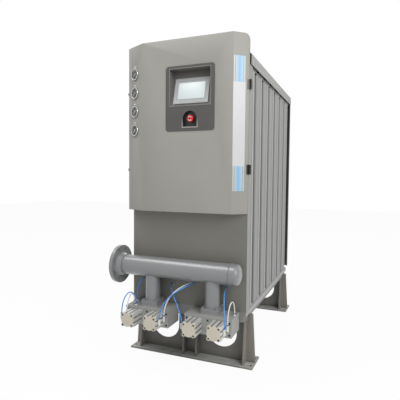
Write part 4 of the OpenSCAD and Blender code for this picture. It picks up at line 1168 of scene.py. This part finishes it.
class DRYER_OT_gauges(bpy.types.Operator):
    """Dials, lenses, rolled bezels and blank tags of the four gauges"""

    bl_idname = "dryer.gauges"
    bl_label = "Gauges"

    def execute(self, context):
        places = gauge_places()
        lens = sizes().lens_radius
        dial = turned([(0, 0.0024), (lens - 0.001, 0.0024), (lens, 0.002), (lens, 0.0016), (0, 0.0016)], 48)
        kept(repeated(dial, places), "gauge_dials", "hood_door", "gauge_dial")
        glass = turned([(0, 0.0054), (lens * 0.6, 0.0052), (lens, 0.0047), (lens, 0.0041), (0, 0.0045)], 48)
        kept(repeated(glass, places), "gauge_lenses", "hood_door", "clear_lens", 50)
        bezel = turned([(lens - 0.0012, 0.0056), (lens, 0.0064), (0.0315, 0.0067), (0.0332, 0.0061),
                        (0.0338, 0.0048), (0.0338, 0.0005), (0.0332, 0.0003), (lens, 0.0003),
                        (lens - 0.0012, 0.0056)], 56)
        kept(repeated(bezel, places), "gauge_bezels", "hood_door", "gauge_chrome", 40)
        tag = rounded(block((-0.011, -0.0007, 0.039), (0.011, 0.0002, 0.0455)), 0.0003, 2)
        kept(repeated(tag, places), "gauge_tags", "hood_door", "tag_film")
        return {"FINISHED"}


class DRYER_OT_valves(bpy.types.Operator):
    """Screws of caps and blocks, and release collars of the push-in fittings"""

    bl_idname = "dryer.valves"
    bl_label = "Valve gear"

    def execute(self, context):
        self.add_cap_screws()
        self.add_block_screws()
        self.add_collars()
        self.add_hinge_screws()
        return {"FINISHED"}

    def add_screws(self, name, places, screw, finish):
        kept(repeated(screw, places), name, "frame", finish)

    def add_cap_screws(self):
        places = [Matrix.Translation((x + side * 0.027, -0.857, ACTUATOR_Z + up * 0.027))
                  for x in ACTUATOR_X for side in (-1, 1) for up in (-1, 1)]
        self.add_screws("cap_screws", places, socket_screw(sizes().screw_radius, 0.004), "screw_black")

    def add_block_screws(self):
        across = (-0.302, -0.182, -0.062, 0.062, 0.182, 0.302)
        places = [Matrix.Translation((x, -0.76, z)) for x in across for z in (0.239, 0.301)]
        self.add_screws("block_screws", places, socket_screw(sizes().screw_radius, 0.004), "screw_black")

    def add_hinge_screws(self):
        outward = Matrix.Rotation(math.pi / 2, 4, "Z")
        places = [Matrix.Translation(HINGE_LEAF + Vector((0, 0, z + rise))) @ outward
                  for z in HINGE_Z for rise in (-0.015, 0.015)]
        self.add_screws("hinge_screws", places, socket_screw(0.0055, 0.0025), "steel_zinc")

    def add_collars(self):
        half = sizes().tube_diameter / 2
        out = sizes().collar_length
        collar = turned([(half, 0), (half + 0.0032, 0), (half + 0.0032, out * 0.55), (half + 0.0026, out),
                         (half, out), (half, 0)], 28)
        places = []
        for tint, guides in TUBE_ROUTES.values():
            for end, inner in ((guides[0], guides[1]), (guides[3], guides[2])):
                spot = Vector((end[0], end[1] + PANEL_FRONT * 1000, end[2])) / 1000
                run = (Vector(inner) - Vector(end)).normalized()
                turn = Vector((0, -1, 0)).rotation_difference(run).to_matrix().to_4x4()
                places.append(Matrix.Translation(spot) @ turn)
        kept(repeated(collar, places), "fitting_collars", "frame", "collar_blue")


class DRYER_OT_welds(bpy.types.Operator):
    """Weld beads round the pipes, at their branches and along the stands"""

    bl_idname = "dryer.welds"
    bl_label = "Welds"

    def execute(self, context):
        pipes = [self.ring(x, PIPE_Y, PIPE_Z) for x in (-0.3555, CAP_SEAM)]
        pipes.append(self.ring(-0.3555, OUTLET_Y, OUTLET_Z))
        for x in BRANCH_X:
            line = self.saddle(BRANCH_R, 0, "down")
            pipes.append(self.bead([Vector((x, PIPE_Y, PIPE_Z)) + p for p in line]))
            pipes.append(self.bead([Vector((x, PIPE_Y, 0.3555)) + p for p in self.circle(BRANCH_R)]))
            rise = OUTLET_BRANCH_Z - OUTLET_Z
            line = self.saddle(OUTLET_BRANCH_R, rise, "front")
            pipes.append(self.bead([Vector((x, OUTLET_Y, OUTLET_Z)) + p for p in line]))
        self.keep_beads(pipes, "pipe_welds", "pipe_paint", "weld_grey")
        stands = []
        for y in STAND_Y:
            for side in (-1, 1):
                at = y + side * (STAND_PLATE / 2 + 0.0008)
                ends = [Vector((x, at, STAND_PLATE + 0.0008)) for x in (-STAND_FOOT, STAND_FOOT)]
                stands.append(self.bead([ends[0].lerp(ends[1], i / 120) for i in range(121)], False))
        self.keep_beads(stands, "stand_welds", "stand_paint", "weld_dark")
        return {"FINISHED"}

    def circle(self, radius, count=96):
        turns = [2 * math.pi * i / count for i in range(count)]
        return [Vector((radius * math.cos(a), radius * math.sin(a), 0)) for a in turns]

    def ring(self, x, y, z):
        turn = Matrix.Rotation(math.pi / 2, 3, "Y")
        return self.bead([Vector((x, y, z)) + turn @ p for p in self.circle(PIPE_R, 140)])

    def saddle(self, radius, rise, towards):
        """Line where a branch meets the pipe, about the pipe's axis."""
        line = []
        for p in self.circle(radius):
            if towards == "down":
                line.append(Vector((p.x, p.y, -math.sqrt(PIPE_R ** 2 - p.y ** 2))))
            else:
                up = rise + p.y
                line.append(Vector((p.x, -math.sqrt(max(0.0, PIPE_R ** 2 - up ** 2)), up)))
        return line

    def bead(self, line, closed=True):
        """A round bead along a line, as a mesh."""
        obj = curve_rod("bead", line, sizes().weld_radius, 2, closed)
        take(obj)
        bpy.ops.object.convert(target="MESH")
        obj = bpy.context.object
        with editing(obj):
            bpy.ops.mesh.remove_doubles(threshold=MERGE)
        return obj

    def keep_beads(self, beads, name, slot, finish):
        piece = joined(beads)
        clouds = bpy.data.textures.new(name + "_ripple", "CLOUDS")
        clouds.noise_scale = 0.006
        modified(piece, "DISPLACE", texture=clouds, texture_coords="LOCAL", strength=0.0016, mid_level=0.5)
        kept(piece, name, "frame", finish, 60)


class DRYER_OT_finishes(bpy.types.Operator):
    """Finishes of the nodes that stay as packed"""

    bl_idname = "dryer.finishes"
    bl_label = "Finishes"

    def execute(self, context):
        for node, finish in NODE_FINISHES.items():
            data = bpy.data.objects[node].data
            material = finish_named(finish)
            if not data.materials:
                data.materials.append(material)
            for index in range(len(data.materials)):
                data.materials[index] = material
        return {"FINISHED"}


OPERATORS = (DRYER_OT_stage, DRYER_OT_tubes, DRYER_OT_stands, DRYER_OT_shell, DRYER_OT_inlet,
             DRYER_OT_hood, DRYER_OT_controls, DRYER_OT_gauges, DRYER_OT_valves, DRYER_OT_welds,
             DRYER_OT_finishes)


class DRYER_PT_sidebar(bpy.types.Panel):
    """Lists the dryer's pieces in the sidebar"""

    bl_label = "Air dryer"
    bl_idname = "DRYER_PT_sidebar"
    bl_space_type = "VIEW_3D"
    bl_region_type = "UI"
    bl_category = "Dryer"

    def draw(self, context):
        for operator in OPERATORS:
            self.layout.operator(operator.bl_idname)
        for group in (context.scene.dryer_sizes, context.scene.dryer_colours):
            for name in group.__annotations__:
                self.layout.prop(group, name)


CLASSES = (DryerSizes, DryerColours) + OPERATORS + (DRYER_PT_sidebar,)


def register():
    for cls in CLASSES:
        bpy.utils.register_class(cls)
    bpy.types.Scene.dryer_sizes = bpy.props.PointerProperty(type=DryerSizes)
    bpy.types.Scene.dryer_colours = bpy.props.PointerProperty(type=DryerColours)


def unregister():
    del bpy.types.Scene.dryer_colours
    del bpy.types.Scene.dryer_sizes
    for cls in reversed(CLASSES):
        bpy.utils.unregister_class(cls)


def main():
    register()
    bpy.ops.dryer.stage()
    bpy.ops.dryer.tubes()
    bpy.ops.dryer.stands()
    bpy.ops.dryer.shell()
    bpy.ops.dryer.inlet()
    bpy.ops.dryer.hood()
    bpy.ops.dryer.controls()
    bpy.ops.dryer.gauges()
    bpy.ops.dryer.valves()
    bpy.ops.dryer.welds()
    bpy.ops.dryer.finishes()
    deselect()


if __name__ == "__main__":
    main()
